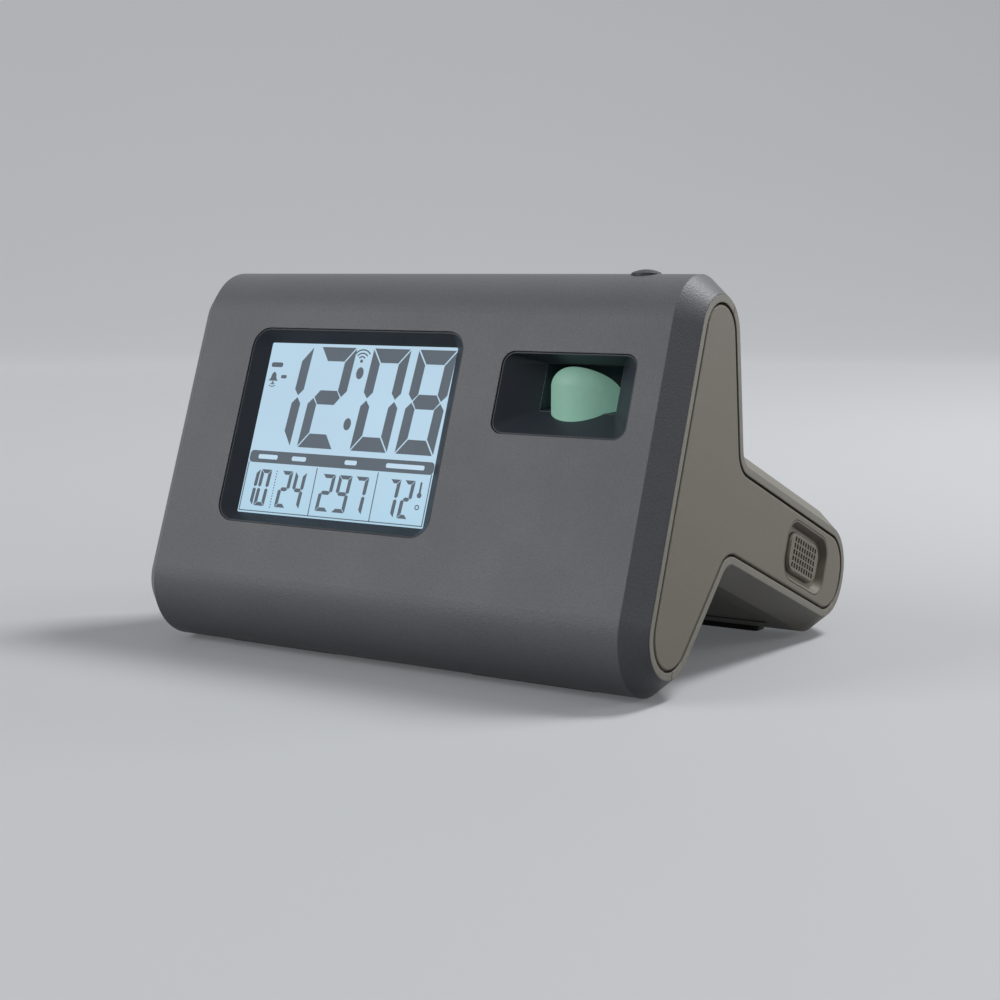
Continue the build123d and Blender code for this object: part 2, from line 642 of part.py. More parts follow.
# ---- projector ----------------------------------------------------------------------
def recess_form(grow, near):
    """Funnel and chamber of the projector's recess, as a solid grown by a wall."""
    edge = 0 if grow else -2 * BEZEL_LAND
    big_w = RECESS_W - 2 * FIT + edge
    big_h = RECESS_H - 2 * FIT + edge
    small_w = RECESS_W - 2 * FUNNEL_SIDE + 2 * grow
    small_h = CEILING_S - FUNNEL_S + 2 * grow
    big = (RECESS_X, RECESS_S, big_w, big_h, RECESS_R + edge / 2)
    small = (RECESS_X, (CEILING_S + FUNNEL_S) / 2, small_w, small_h, NARROW_R)
    form = funnel(FACE, big, -near, small, -FUNNEL_DEPTH)
    front = FLOOR_Y - FUNNEL_WALL
    back = HEAD_ROW_Y + CHAMBER_DEEP + grow
    w = small_w - 2 * CHAMBER_STEP
    x = RECESS_X - w / 2
    floor = FLOOR_Z - grow
    rise = tan(radians(CHAMBER_RISE))
    profile = Wire.make_polygon([
        (x, front, floor + (front - FLOOR_Y) * rise),
        (x, back, floor + (back - FLOOR_Y) * rise),
        (x, back, CEILING_Z + grow),
        (x, front, CEILING_Z + grow),
    ])
    return form + extrude(Face(profile), w, dir=(1, 0, 0))


def projector_bezel():
    """Dark recess in front of the projector: funnel, chamber, and the head's round hole."""
    body = recess_form(FUNNEL_WALL, WALL)
    w, h = RECESS_W - 2 * FIT, RECESS_H - 2 * FIT
    body += slab(FACE, RECESS_X, RECESS_S, w, h, -WALL, -BEZEL_SET, RECESS_R)
    w, h = RECESS_W + 2 * BEZEL_FLANGE, RECESS_H + 2 * BEZEL_FLANGE
    body += slab(FACE, RECESS_X, RECESS_S, w, h, -WALL - FUNNEL_WALL, -WALL, RECESS_R)
    body -= recess_form(0, BEZEL_SET)
    return one(body - disc(HEAD, 0, 0, HEAD_R + HEAD_GAP, HEAD_LOW, HEAD_TOP))


def projector_head():
    """Frosted head that sends the beam out: a hollow drum with a lopsided domed top."""

    def drum(inset):
        r = HEAD_R - inset
        body = disc(HEAD, 0, 0, r, HEAD_LOW, HEAD_TOP + inset)
        centre = (HEAD_X + HEAD_PEAK_X, HEAD_ROW_Y + HEAD_PEAK_Y, HEAD_TOP - HEAD_CROWN_R)
        ball = Pos(*centre) * Sphere(HEAD_CROWN_R - inset)
        body = one(body & ball)
        rim = body.edges().filter_by(lambda e: e.center().Z > HEAD_LOW + HEAD_SINK)
        return fillet(rim.sort_by(SortBy.LENGTH)[-1], HEAD_EDGE_R - inset)

    return one(drum(0) - drum(HEAD_WALL))


def projector_housing():
    """Upright tube under the recess, with the head's seat and the rack's slot."""
    top = FLOOR_Z + FUNNEL_WALL
    tube = disc(HEAD, 0, 0, HOUSING_R, HOUSING_BASE, top)
    tube -= disc(HEAD, 0, 0, HOUSING_BORE, HOUSING_BASE, HEAD_LOW)
    tube -= disc(HEAD, 0, 0, HEAD_R + RUNNING, HEAD_LOW, top)
    slot_w = RACK_T + 2 * BUTTON_GAP
    low = CARRIAGE_LOW - FOCUS_TRAVEL - BUTTON_GAP
    high = CARRIAGE_LOW + RACK_ARM_H + FOCUS_TRAVEL + BUTTON_GAP
    slot = slab(HEAD, 0, HOUSING_R, slot_w, 2 * HOUSING_R, low, high)
    return one(tube - slot - recess_form(FUNNEL_WALL, WALL))


def lamp_board():
    """Round board that closes the housing's lower end."""
    return disc(HEAD, 0, 0, HOUSING_R, HOUSING_BASE - LAMP_BOARD_T, HOUSING_BASE)


def projector_lamp():
    """Projector's lamp: a square package with a domed lens."""
    base = slab(HEAD, 0, 0, LAMP_SIDE, LAMP_SIDE, HOUSING_BASE, HOUSING_BASE + LAMP_T)
    dome = Pos(HEAD_X, HEAD_ROW_Y, HOUSING_BASE + LAMP_T) * Sphere(LAMP_SIDE * 0.4)
    return one(base + dome - disc(HEAD, 0, 0, LAMP_SIDE, 0, HOUSING_BASE))


def projector_slide():
    """Small display that the lamp shines through."""
    return slab(HEAD, 0, 0, SLIDE_SIDE, SLIDE_SIDE, SLIDE_LEVEL, SLIDE_LEVEL + SLIDE_THICK)


def lens(r, low, edge, bulge):
    """Lens with two bulging faces, its edge from low to low + edge."""
    ball_r = (r * r + bulge * bulge) / (2 * bulge)
    middle = low + edge / 2
    near = Pos(HEAD_X, HEAD_ROW_Y, middle + edge / 2 + bulge - ball_r) * Sphere(ball_r)
    far = Pos(HEAD_X, HEAD_ROW_Y, middle - edge / 2 - bulge + ball_r) * Sphere(ball_r)
    return one(disc(HEAD, 0, 0, r, low - bulge, low + edge + bulge) & near & far)


def condenser_lens():
    """Fixed lens between lamp and slide."""
    return lens(HOUSING_BORE - PILOT_GAP, CONDENSER_LOW, LENS_EDGE, LENS_BULGE)


def focus_lens():
    """Moving lens, seated in the middle of its carriage."""
    low = CARRIAGE_LOW + (CARRIAGE_H - LENS_EDGE) / 2
    return lens(CARRIAGE_BORE - PILOT_GAP, low, LENS_EDGE, LENS_BULGE)


def rack_teeth():
    """Straight-sided teeth, one of them level with the pinion's axis."""
    half = (pi * MODULE / 2 - BACKLASH) / 2
    root = half + DEDENDUM * tan(PRESSURE)
    tip = half - ADDENDUM * tan(PRESSURE)
    x0 = RACK_ROOT_X
    x1 = RACK_ROOT_X + DEDENDUM + ADDENDUM
    teeth = []
    for i in range(-RACK_TEETH_EACH_WAY, RACK_TEETH_EACH_WAY + 1):
        z = KNOB_Z + i * pi * MODULE
        y = HEAD_ROW_Y + RACK_SET_Y
        points = [(x0, y, z - root), (x1, y, z - tip), (x1, y, z + tip), (x0, y, z + root)]
        teeth.append(extrude(Face(Wire.make_polygon(points)), RACK_DEEP, dir=(0, 1, 0)))
    return teeth


def focus_carriage():
    """Tube that carries the moving lens, with the arm and rack that lift it."""
    tube = disc(HEAD, 0, 0, HOUSING_BORE - RUNNING, CARRIAGE_LOW, CARRIAGE_LOW + CARRIAGE_H)
    arm_y = HOUSING_BORE - RUNNING - CARRIAGE_WALL / 2
    reach = RACK_SET_Y + RACK_DEEP
    arm = slab(HEAD, 0, (arm_y + reach) / 2, RACK_T, reach - arm_y, CARRIAGE_LOW, CARRIAGE_LOW + RACK_ARM_H)
    tube -= disc(HEAD, 0, 0, CARRIAGE_BORE, CARRIAGE_LOW, CARRIAGE_LOW + CARRIAGE_H)
    bar_y = RACK_SET_Y + RACK_DEEP / 2
    bar = slab(HEAD, 0, bar_y, RACK_T, RACK_DEEP, CARRIAGE_LOW, CARRIAGE_LOW + RACK_LENGTH)
    body = tube + arm + bar
    for tooth in rack_teeth():
        body += tooth
    return one(body)


def pinion_outline():
    """Involute outline of the pinion, with a gap between teeth towards the rack."""
    base = PITCH_R * cos(PRESSURE)
    tip = PITCH_R + ADDENDUM
    root = PITCH_R - DEDENDUM
    half_pitch = pi / (2 * PINION_TEETH) - BACKLASH / (2 * PITCH_R)

    def half_angle(r):
        phi = acos(min(1.0, base / r))
        return half_pitch + tan(PRESSURE) - PRESSURE - tan(phi) + phi

    flank = [base + (tip - base) * i / FLANK_STEPS for i in range(FLANK_STEPS + 1)]
    points = []
    for tooth in range(PINION_TEETH):
        middle = 2 * pi * (tooth + 0.5) / PINION_TEETH
        rising = [(root, half_angle(base))] + [(r, half_angle(r)) for r in flank]
        for r, a in rising:
            points.append((r * cos(middle - a), r * sin(middle - a)))
        for r, a in reversed(rising):
            points.append((r * cos(middle + a), r * sin(middle + a)))
    return make_face(Polyline(*points, close=True))


def focus_pinion():
    """Pinion that lifts the rack."""
    gear = extrude(KNOB * pinion_outline(), RACK_DEEP)
    return one(gear - disc(KNOB, 0, 0, SHAFT_R, 0, RACK_DEEP))


def knob_seat():
    """Knob's inner face behind the rack's front, clear of the sloping back."""
    drop = REAR.origin.Z - (KNOB_Z - KNOB_R)
    wall_y = REAR.origin.Y + drop * tan(BACK)
    return wall_y + KNOB_OFF - KNOB.origin.Y


def focus_shaft():
    """Steel shaft between pinion and knob."""
    return disc(KNOB, 0, 0, SHAFT_R, 0, knob_seat() + KNOB_H / 2)


def focus_knob():
    """Ribbed focus knob on the back of the slab."""
    seat = knob_seat()
    knob = disc(KNOB, 0, 0, KNOB_R - KNOB_RIB_R, seat, seat + KNOB_H)
    knob = fillet(knob.faces().sort_by(Axis.Y)[-1].edges(), KNOB_RIB_R * 2)
    rib = disc(KNOB, KNOB_R - KNOB_RIB_R, 0, KNOB_RIB_R, seat, seat + KNOB_H - KNOB_RIB_R * 3)
    axis = Axis(KNOB.origin, (0, 1, 0))
    for i in range(KNOB_RIBS):
        knob += rib.rotate(axis, 360 * i / KNOB_RIBS)
    return one(knob - disc(KNOB, 0, 0, SHAFT_R, 0, seat + KNOB_H / 2))


# ---- buttons and switch -------------------------------------------------------------
def top_button():
    """Round button on top of the slab, domed, with a flange that keeps it in."""
    top = Plane((TOP_BUTTON_X, FACE_Y + TOP_Y, HEIGHT))
    crown = TOP_BUTTON_PROUD
    stem = disc(top, 0, 0, TOP_BUTTON_R, TOP_BUTTON_LOW, crown)
    ball_r = (TOP_BUTTON_R ** 2 + TOP_BUTTON_DOME ** 2) / (2 * TOP_BUTTON_DOME)
    stem &= top * Pos(0, 0, crown - ball_r) * Sphere(ball_r)
    flange_r = TOP_BUTTON_R + BUTTON_GAP + BUTTON_FLANGE
    stem += disc(top, 0, 0, flange_r, TOP_BUTTON_LOW, TOP_BUTTON_LOW + BUTTON_FLANGE)
    return one(stem)


def top_switch_level():
    """Top face of the switch under the top button, with the button fully pressed."""
    return HEIGHT + TOP_BUTTON_LOW - TOP_BUTTON_TRAVEL - PRESS_GAP


def top_switch():
    """Push switch under the top button."""
    top = Plane((TOP_BUTTON_X, FACE_Y + TOP_Y, top_switch_level()))
    return slab(top, 0, 0, TACT_SIDE, TACT_SIDE, -TACT_T, 0)


def top_board_posts():
    """Planes on top of the small board, one at each post that it hangs from."""
    reach = TOP_BUTTON_R + 2 * BUTTON_GAP + BUTTON_FLANGE + POST_R
    level = top_switch_level() - TACT_T
    return [Plane((TOP_BUTTON_X + side * reach, FACE_Y + TOP_Y, level)) for side in (-1, 1)]


def top_board():
    """Small board under the top switch."""
    left, right = top_board_posts()
    w = right.origin.X - left.origin.X + 2 * POST_R
    return slab(left, (right.origin.X - left.origin.X) / 2, 0, w, 2 * TACT_SIDE, -PLATE_T, 0)


def rear_button_places():
    return [REAR_BUTTON_X + i * REAR_BUTTON_PITCH for i in range(REAR_BUTTONS)]


def button_board_posts():
    """Posts that carry the rear button board, outside the buttons and the switch."""
    left = REAR_BUTTON_X - REAR_BUTTON_W / 2 - BUTTON_FLANGE - 2 * POST_R
    right = SWITCH_X + SWITCH_W / 2 + SWITCH_TRAVEL + 2 * POST_R
    return [left, right]


def rear_button(x):
    """One rear button with its flange."""
    y = REAR_BUTTON_DOWN
    low = -WALL - BUTTON_GAP - BUTTON_FLANGE
    body = slab(REAR, x, y, REAR_BUTTON_W, REAR_BUTTON_H, low, REAR_BUTTON_PROUD, BUTTON_R)
    w = REAR_BUTTON_W + 2 * BUTTON_FLANGE
    h = REAR_BUTTON_H + 2 * BUTTON_FLANGE
    return one(body + slab(REAR, x, y, w, h, low, low + BUTTON_FLANGE, BUTTON_R))


def button_board():
    """Board that carries the rear switches."""
    left, right = button_board_posts()
    middle = (left + right) / 2
    w = right - left + 2 * POST_R
    low = -BUTTON_BOARD_SET - PLATE_T
    return slab(REAR, middle, REAR_BUTTON_DOWN, w, 2 * REAR_BUTTON_H, low, -BUTTON_BOARD_SET)


def rear_switches():
    """Push switches under the rear buttons."""
    top = -WALL - BUTTON_GAP - BUTTON_FLANGE - REAR_BUTTON_TRAVEL - PRESS_GAP
    places = rear_button_places()
    return [slab(REAR, x, REAR_BUTTON_DOWN, TACT_SIDE, TACT_SIDE, -BUTTON_BOARD_SET, top) for x in places]


def alarm_switch():
    """Knob of the alarm slide switch, at the left end of its travel."""
    x = SWITCH_X - SWITCH_TRAVEL / 2
    y = REAR_BUTTON_DOWN
    low = -WALL - BUTTON_GAP - BUTTON_FLANGE
    knob = slab(REAR, x, y, SWITCH_W, SWITCH_H, low, SWITCH_PROUD, BUTTON_R)
    for i in (-1, 0, 1):
        groove = REAR * Pos(x + i * SWITCH_GROOVE, y, SWITCH_PROUD) * Rectangle(SWITCH_GROOVE / 2, SWITCH_H)
        knob -= extrude(groove, SWITCH_GROOVE / 2, both=True)
    foot = SWITCH_W + SWITCH_TRAVEL
    return one(knob + slab(REAR, x, y, foot, SWITCH_H + BUTTON_FLANGE, low, low + BUTTON_FLANGE))


def alarm_switch_base():
    """Fixed half of the alarm switch, on the button board."""
    top = -WALL - BUTTON_GAP - BUTTON_FLANGE - FIT
    w = SWITCH_W + 2 * SWITCH_TRAVEL
    return slab(REAR, SWITCH_X, REAR_BUTTON_DOWN, w, 2 * SWITCH_H, -BUTTON_BOARD_SET, top)


# ---- leg: base cover, batteries, feet ----------------------------------------------
def base_plate(grow, low, high):
    """Plate in the leg's underside opening, grown by a gap."""
    w = 2 * (BASE_HALF + grow)
    h = BASE_LENGTH + 2 * grow
    return slab(LEG, 0, BASE_MID, w, h, low, high, BASE_R)


def bay(grow, low, high):
    """Battery bay's plan, grown by a wall, as a block."""
    w = 2 * (BAY_HALF_W + grow)
    h = 2 * (BAY_HALF_H + grow)
    return slab(LEG, 0, BASE_MID, w, h, low, high)


def base_cover():
    """Cover in the leg's underside, with the battery bay and the door's pocket."""
    inside = UNDERSIDE + WALL
    cover = base_plate(0, BASE_OUT, inside)
    cover += base_plate(BASE_FLANGE, inside, inside + BASE_FLANGE_T)
    cover += bay(TRAY_WALL, BASE_OUT, BAY_TOP + TRAY_WALL)
    cover -= bay(0, UNDERSIDE - WALL, BAY_TOP)
    pocket = DOOR_LIP + DOOR_GAP
    cover -= bay(pocket, UNDERSIDE - WALL, BASE_OUT + DOOR_THICK + DOOR_SEAT)
    pin = DOOR_PIN_R + RUNNING
    for side in both_ends(hinge_pin(pin, pocket - DOOR_GAP, pocket + 2 * DOOR_LIP)):
        cover -= side
    return one(cover)


def hinge_pin(r, start, end):
    """Door's hinge pin at the right, from start to end outside the bay's side."""
    along = BASE_MID - BAY_HALF_H - DOOR_LIP + DOOR_THICK / 2
    origin = LEG.from_local_coords((BAY_HALF_W + start, along, BASE_OUT + DOOR_THICK / 2))
    return disc(Plane(origin, z_dir=(1, 0, 0)), 0, 0, r, 0, end - start)


def battery_door():
    """Door over the batteries, rounded along its hinge, with two pins and a finger notch."""
    door = bay(DOOR_LIP, BASE_OUT, BASE_OUT + DOOR_THICK)
    along = BASE_MID - BAY_HALF_H - DOOR_LIP
    hinge_edges = door.edges().filter_by(Axis.X)
    near = hinge_edges.sort_by_distance(LEG.from_local_coords((0, along, BASE_OUT)))[0]
    far = hinge_edges.sort_by_distance(LEG.from_local_coords((0, along, BASE_OUT + DOOR_THICK)))[0]
    door = fillet([near, far], DOOR_THICK / 2 - PILOT_GAP)
    for pin in both_ends(hinge_pin(DOOR_PIN_R, DOOR_LIP - PILOT_GAP, DOOR_LIP * 2 + DOOR_GAP)):
        door += pin
    latch = BASE_MID + BAY_HALF_H + DOOR_LIP - 2 * DOOR_THICK
    for i in range(DOOR_RIBS):
        at = latch - i * 2 * RIB_DEEP
        door -= slab(LEG, 0, at, FINGER_W, RIB_DEEP, BASE_OUT - RIB_DEEP, BASE_OUT + RIB_DEEP)
    return one(door)


def cell_plane(i):
    """Axis of one battery cell, pointing along the width, alternately to either side."""
    way = 1 if i == 0 else -1
    along = BASE_MID + (i - 0.5) * CELL_PITCH
    start = -way * (BAY_HALF_W - CONTACT_T - SPRING_SPACE)
    height = BASE_OUT + DOOR_THICK + TRAY_CLEAR + CELL_R
    return Plane(LEG.from_local_coords((start, along, height)), z_dir=(way, 0, 0))


def battery_cells():
    """Two AA cells, laid opposite ways."""
    cells = []
    for i in range(2):
        cell = disc(cell_plane(i), 0, 0, CELL_R, 0, CELL_LENGTH)
        cell += disc(cell_plane(i), 0, 0, CELL_NUB_R, CELL_LENGTH, CELL_LENGTH + CELL_NUB_H)
        cells.append(one(cell))
    return cells


def battery_springs():
    """Coil spring at the flat end of each cell."""
    springs = []
    for i in range(2):
        plane = cell_plane(i)
        height = SPRING_SPACE - 2 * SPRING_WIRE
        path = Helix(height / SPRING_TURNS, height, SPRING_R)
        ring = Plane(path @ 0, z_dir=path % 0) * Circle(SPRING_WIRE)
        coil = sweep(ring, path=path, is_frenet=True)
        springs.append(one(plane * Pos(0, 0, SPRING_WIRE - SPRING_SPACE) * coil))
    return springs


def battery_contacts():
    """Contact plates at both ends of the bay."""
    plate = bay(0, BASE_OUT + DOOR_THICK + DOOR_SEAT, BAY_TOP)
    middle = 2 * (BAY_HALF_W - CONTACT_T)
    full = 2 * (BAY_HALF_H + CONTACT_T)
    plate -= slab(LEG, 0, BASE_MID, middle, full, UNDERSIDE, BAY_TOP)
    return plate.solids()


def front_feet():
    """Rubber strips under the slab, just behind the casing's parting line."""
    y = FACE_Y + (SPLIT_DEPTH + FOOT_BEHIND_SEAM) / cos(LEAN) + FOOT_WIDTH / 2
    return feet(y, SLAB_CLEARANCE + FOOT_SINK)


def rear_feet():
    """Rubber strips under the end of the leg."""
    y = FACE_Y + LEG_Y + (LEG_HALF - LEG_END_R) * (cos(DROP) - sin(DROP))
    return feet(y, LEG_CLEARANCE + FOOT_SINK)


def feet(y, height):
    strip = extrude(RectangleRounded(FOOT_LENGTH, FOOT_WIDTH, FOOT_R), height)
    return [Pos(side * FOOT_X, y, 0) * strip for side in (-1, 1)]


# ---- speaker ------------------------------------------------------------------------
def speaker_grille():
    """Dished grille in the right cap: a sloping edge, a groove and a slotted pad."""
    w = POD_W - 2 * FIT
    h = POD_H - 2 * FIT
    back = -POD_DEPTH - POD_PLATE
    body = slab(POD, 0, 0, w, h, back, 0, POD_R - FIT)
    flange = 2 * POD_FLANGE
    body += slab(POD, 0, 0, POD_W + flange, POD_H + flange, back, -CAP_THICK, POD_R + POD_FLANGE)
    land = 2 * BEZEL_LAND
    mouth = (0, 0, w - land, h - land, POD_R - FIT - BEZEL_LAND)
    floor = (0, 0, w - 2 * POD_SLOPE, h - 2 * POD_SLOPE, POD_R - FIT - POD_SLOPE)
    body -= funnel(POD, mouth, 0, floor, -POD_DEPTH)
    pad = slab(POD, 0, 0, PAD_W, PAD_H, -POD_DEPTH, PAD_RISE - POD_DEPTH, PAD_R)
    pad = chamfer(pad.faces().sort_by(Axis.X)[-1].edges(), PAD_CHAMFER)
    body += pad
    slots = []
    for i in range(SLOT_COLUMNS):
        for j in range(SLOT_ROWS):
            x = (i - (SLOT_COLUMNS - 1) / 2) * SLOT_PITCH
            y = (j - (SLOT_ROWS - 1) / 2) * SLOT_PITCH
            slots.append(slab(POD, x, y, SLOT_W, SLOT_H, back, 0))
    return one(body - slots)


def speaker_cone_form(shift):
    """Cone of the speaker, shifted along its axis."""
    front = POD * Pos(0, 0, SPEAKER_FRONT + shift) * Circle(SPEAKER_R - SPEAKER_RIM)
    back = POD * Pos(0, 0, SPEAKER_FRONT - SPEAKER_DISH + shift) * Circle(MAGNET_R / 2)
    return loft([front, back], ruled=True)


def speaker_frame():
    """Speaker's basket behind the grille."""
    frame = disc(POD, 0, 0, SPEAKER_R, SPEAKER_FRONT - SPEAKER_T, SPEAKER_FRONT)
    return one(frame - speaker_cone_form(0))


def speaker_cone():
    """Paper cone seated in the basket."""
    return one(speaker_cone_form(0) - speaker_cone_form(CONE_T))


def speaker_magnet():
    """Magnet on the back of the basket."""
    back = SPEAKER_FRONT - SPEAKER_T
    return disc(POD, 0, 0, MAGNET_R, back - MAGNET_T, back)


def main():
    os.makedirs("parts", exist_ok=True)
    save(front_casing(), "front_casing")
    save(rear_casing(), "rear_casing")
    for side, name in enumerate(("right", "left")):
        save(front_trim(side), f"front_trim_{name}")
        save(end_cap(side), f"end_cap_{name}")
    single = [
        window_bezel, lcd_panel, lcd_diffuser, lcd_lamp, lcd_connector, lcd_frame, main_board,
        clock_chip, crystal, thermistor, projector_bezel, projector_head, projector_housing,
        lamp_board, projector_lamp, projector_slide, condenser_lens, focus_lens, focus_carriage,
        focus_pinion, focus_shaft, focus_knob, top_button, top_switch, top_board, button_board,
        alarm_switch, alarm_switch_base, base_cover, battery_door, speaker_grille,
        speaker_frame, speaker_cone, speaker_magnet,
    ]
    for make in single:
        save(make(), make.__name__)
    groups = [
        board_screws, casing_screws, rear_switches, battery_cells, battery_springs,
        battery_contacts, front_feet, rear_feet,
    ]
    for make in groups:
        save(Compound(make()), make.__name__)
    for i, x in enumerate(rear_button_places()):
        save(rear_button(x), f"rear_button_{i + 1}")


if __name__ == "__main__":
    main()
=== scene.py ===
# %% [markdown]
# A projection alarm clock, dressed in Blender.
#
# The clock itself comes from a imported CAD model: every casing, button, lens and spring is already
# a mesh at its real size and place. This lesson gives each of them the finish of the real thing,
# adds the marks on the lit display, and sets up a small photo studio. Lengths are in metres, and Y
# runs to the back of the clock.

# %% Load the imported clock
import bpy
import json
from math import cos, radians, sin, tan
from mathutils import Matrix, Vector


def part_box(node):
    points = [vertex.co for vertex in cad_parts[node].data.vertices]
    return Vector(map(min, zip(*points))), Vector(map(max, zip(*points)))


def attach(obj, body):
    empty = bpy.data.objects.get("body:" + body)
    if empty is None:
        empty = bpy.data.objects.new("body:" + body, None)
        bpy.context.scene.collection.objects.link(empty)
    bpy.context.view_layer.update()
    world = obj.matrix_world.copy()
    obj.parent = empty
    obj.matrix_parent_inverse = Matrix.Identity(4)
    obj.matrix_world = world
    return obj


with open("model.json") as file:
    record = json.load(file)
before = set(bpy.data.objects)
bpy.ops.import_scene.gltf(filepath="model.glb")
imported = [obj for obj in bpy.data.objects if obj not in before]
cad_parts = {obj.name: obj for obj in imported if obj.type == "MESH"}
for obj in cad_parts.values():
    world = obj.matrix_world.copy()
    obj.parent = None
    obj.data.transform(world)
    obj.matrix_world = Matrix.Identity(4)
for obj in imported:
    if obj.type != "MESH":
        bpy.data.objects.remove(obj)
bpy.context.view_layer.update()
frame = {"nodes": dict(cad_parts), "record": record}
nodes = frame["nodes"]
MM = 0.001
print("CAD nodes:", len(nodes))

# %% [markdown]
# The camera comes first, because everything else is judged through it. It has a place and two
# angles, as a camera on a tripod has. It stands to the right of the clock and looks slightly down.

# %% Place the camera
LENS_LENGTH = 64.8              # in mm
SENSOR_WIDTH = 36.0             # in mm
CAMERA_TURN = radians(33.105)
CAMERA_DOWN = radians(7.237)
CAMERA_PLACE = (0.28653, -0.44017, 0.10674)

camera_data = bpy.data.cameras.new("camera")
camera_data.lens = LENS_LENGTH
camera_data.sensor_width = SENSOR_WIDTH
camera = bpy.data.objects.new("camera", camera_data)
camera.location = CAMERA_PLACE
camera.rotation_euler = (radians(90) - CAMERA_DOWN, 0, CAMERA_TURN)
bpy.context.scene.collection.objects.link(camera)
bpy.context.scene.camera = camera
print("camera", round(Vector(CAMERA_PLACE).length, 3), "m from the middle of the footprint")

# %% [markdown]
# Node trees are easier to read when each node takes one line. `wire` gives the inputs of a node a
# number, a colour, or the output of another node. An input is called by its name, with
# underscores for the spaces, or by its number, as in `i0`. `add_node` makes a node and wires it.

# %% Nodes and colours
def wire(tree, node, **inputs):
    """Gives inputs of a node a value or a link."""
    for key, value in inputs.items():
        numbered = key[0] == "i" and key[1:].isdigit()
        socket = node.inputs[int(key[1:]) if numbered else key.replace("_", " ")]
        if isinstance(value, bpy.types.NodeSocket):
            tree.links.new(value, socket)
        else:
            socket.default_value = value


def add_node(tree, kind, props=None, **inputs):
    """Adds a node, sets its properties and wires its inputs."""
    node = tree.nodes.new(kind)
    for key, value in (props or {}).items():
        setattr(node, key, value)
    wire(tree, node, **inputs)
    return node


def srgb(r, g, b):
    """Linear colour, with alpha, of a colour given as 0 to 255 in sRGB."""
    channels = []
    for value in (r, g, b):
        c = value / 255
        channels.append(c / 12.92 if c <= 0.04045 else ((c + 0.055) / 1.055) ** 2.4)
    return (*channels, 1.0)


print("sRGB 128 is", round(srgb(128, 128, 128)[0], 3), "in linear light")

# %% [markdown]
# The materials below are made of a few steps that come back again and again: where a point lies
# on the object, a noise there, and that noise stretched to a range, to tint a colour or to make a
# relief. Each step is a function that returns the output to wire on.

# %% Steps that every material uses
NOISE_SPREAD = (0.3, 0.7)       # nearly all of a noise lies between these


def own_place(tree):
    """Coordinates on the object."""
    return add_node(tree, "ShaderNodeTexCoord").outputs["Object"]


def noise(tree, where, scale, detail=2.0, **more):
    """A noise around 0.5."""
    node = add_node(tree, "ShaderNodeTexNoise", Vector=where, Scale=scale, Detail=detail, **more)
    return node.outputs["Fac"]


def stretch(tree, value, low, high, start=0.0, end=1.0):
    """A value that runs from start to end, made to run from low to high."""
    node = add_node(tree, "ShaderNodeMapRange", Value=value, i1=start, i2=end, i3=low, i4=high)
    return node.outputs[0]


def maths(tree, operation, *values):
    """Result of a Math node."""
    inputs = {f"i{i}": value for i, value in enumerate(values)}
    return add_node(tree, "ShaderNodeMath", {"operation": operation}, **inputs).outputs[0]


def between(tree, share, first, second):
    """A colour between two colours."""
    node = add_node(tree, "ShaderNodeMix", {"data_type": "RGBA"}, i0=share, i6=first, i7=second)
    return node.outputs[2]


def tinted(tree, colour, brightness):
    """A colour times a brightness."""
    node = add_node(tree, "ShaderNodeHueSaturation", Value=brightness, Color=colour)
    return node.outputs["Color"]


def relief(tree, height, strength, depth):
    """Bump node that turns a height into a normal."""
    return add_node(tree, "ShaderNodeBump", Strength=strength, Distance=depth, Height=height)


def new_material(name):
    """Empty material with a Principled shader: (material, tree, shader)."""
    material = bpy.data.materials.new(name)
    material.use_nodes = True
    tree = material.node_tree
    return material, tree, tree.nodes["Principled BSDF"]


print("noises are stretched from", NOISE_SPREAD)

# %% [markdown]
# Moulded plastic isn't flat. Its steel mould is spark-eroded or blasted, so the surface carries a
# fine random grain, and it shines a little differently from place to place. Every plastic of the
# clock has this, only coarser or finer, so it is a node group: built once, and used in each
# material with its own values. It puts out a colour, a roughness and a height, which the
# material's own shader and bump nodes take.

# %% The moulded grain group
GRAIN_SOCKETS = (
    ("Colour", "INPUT", "NodeSocketColor"),
    ("Roughness", "INPUT", "NodeSocketFloat"),
    ("Grain Size", "INPUT", "NodeSocketFloat"),
    ("Drift", "INPUT", "NodeSocketFloat"),
    ("Colour", "OUTPUT", "NodeSocketColor"),
    ("Roughness", "OUTPUT", "NodeSocketFloat"),
    ("Height", "OUTPUT", "NodeSocketFloat"),
)
CELL_SHARE = 0.5                # how much the cells add to the noise in the height
CELL_SMOOTHNESS = 0.8
SPECK = 0.07                    # how much the grain lightens and darkens the colour
SPECK_SPREAD = (0.35, 0.65)
DRIFT_SCALE = 45.0              # patches of about 2 cm


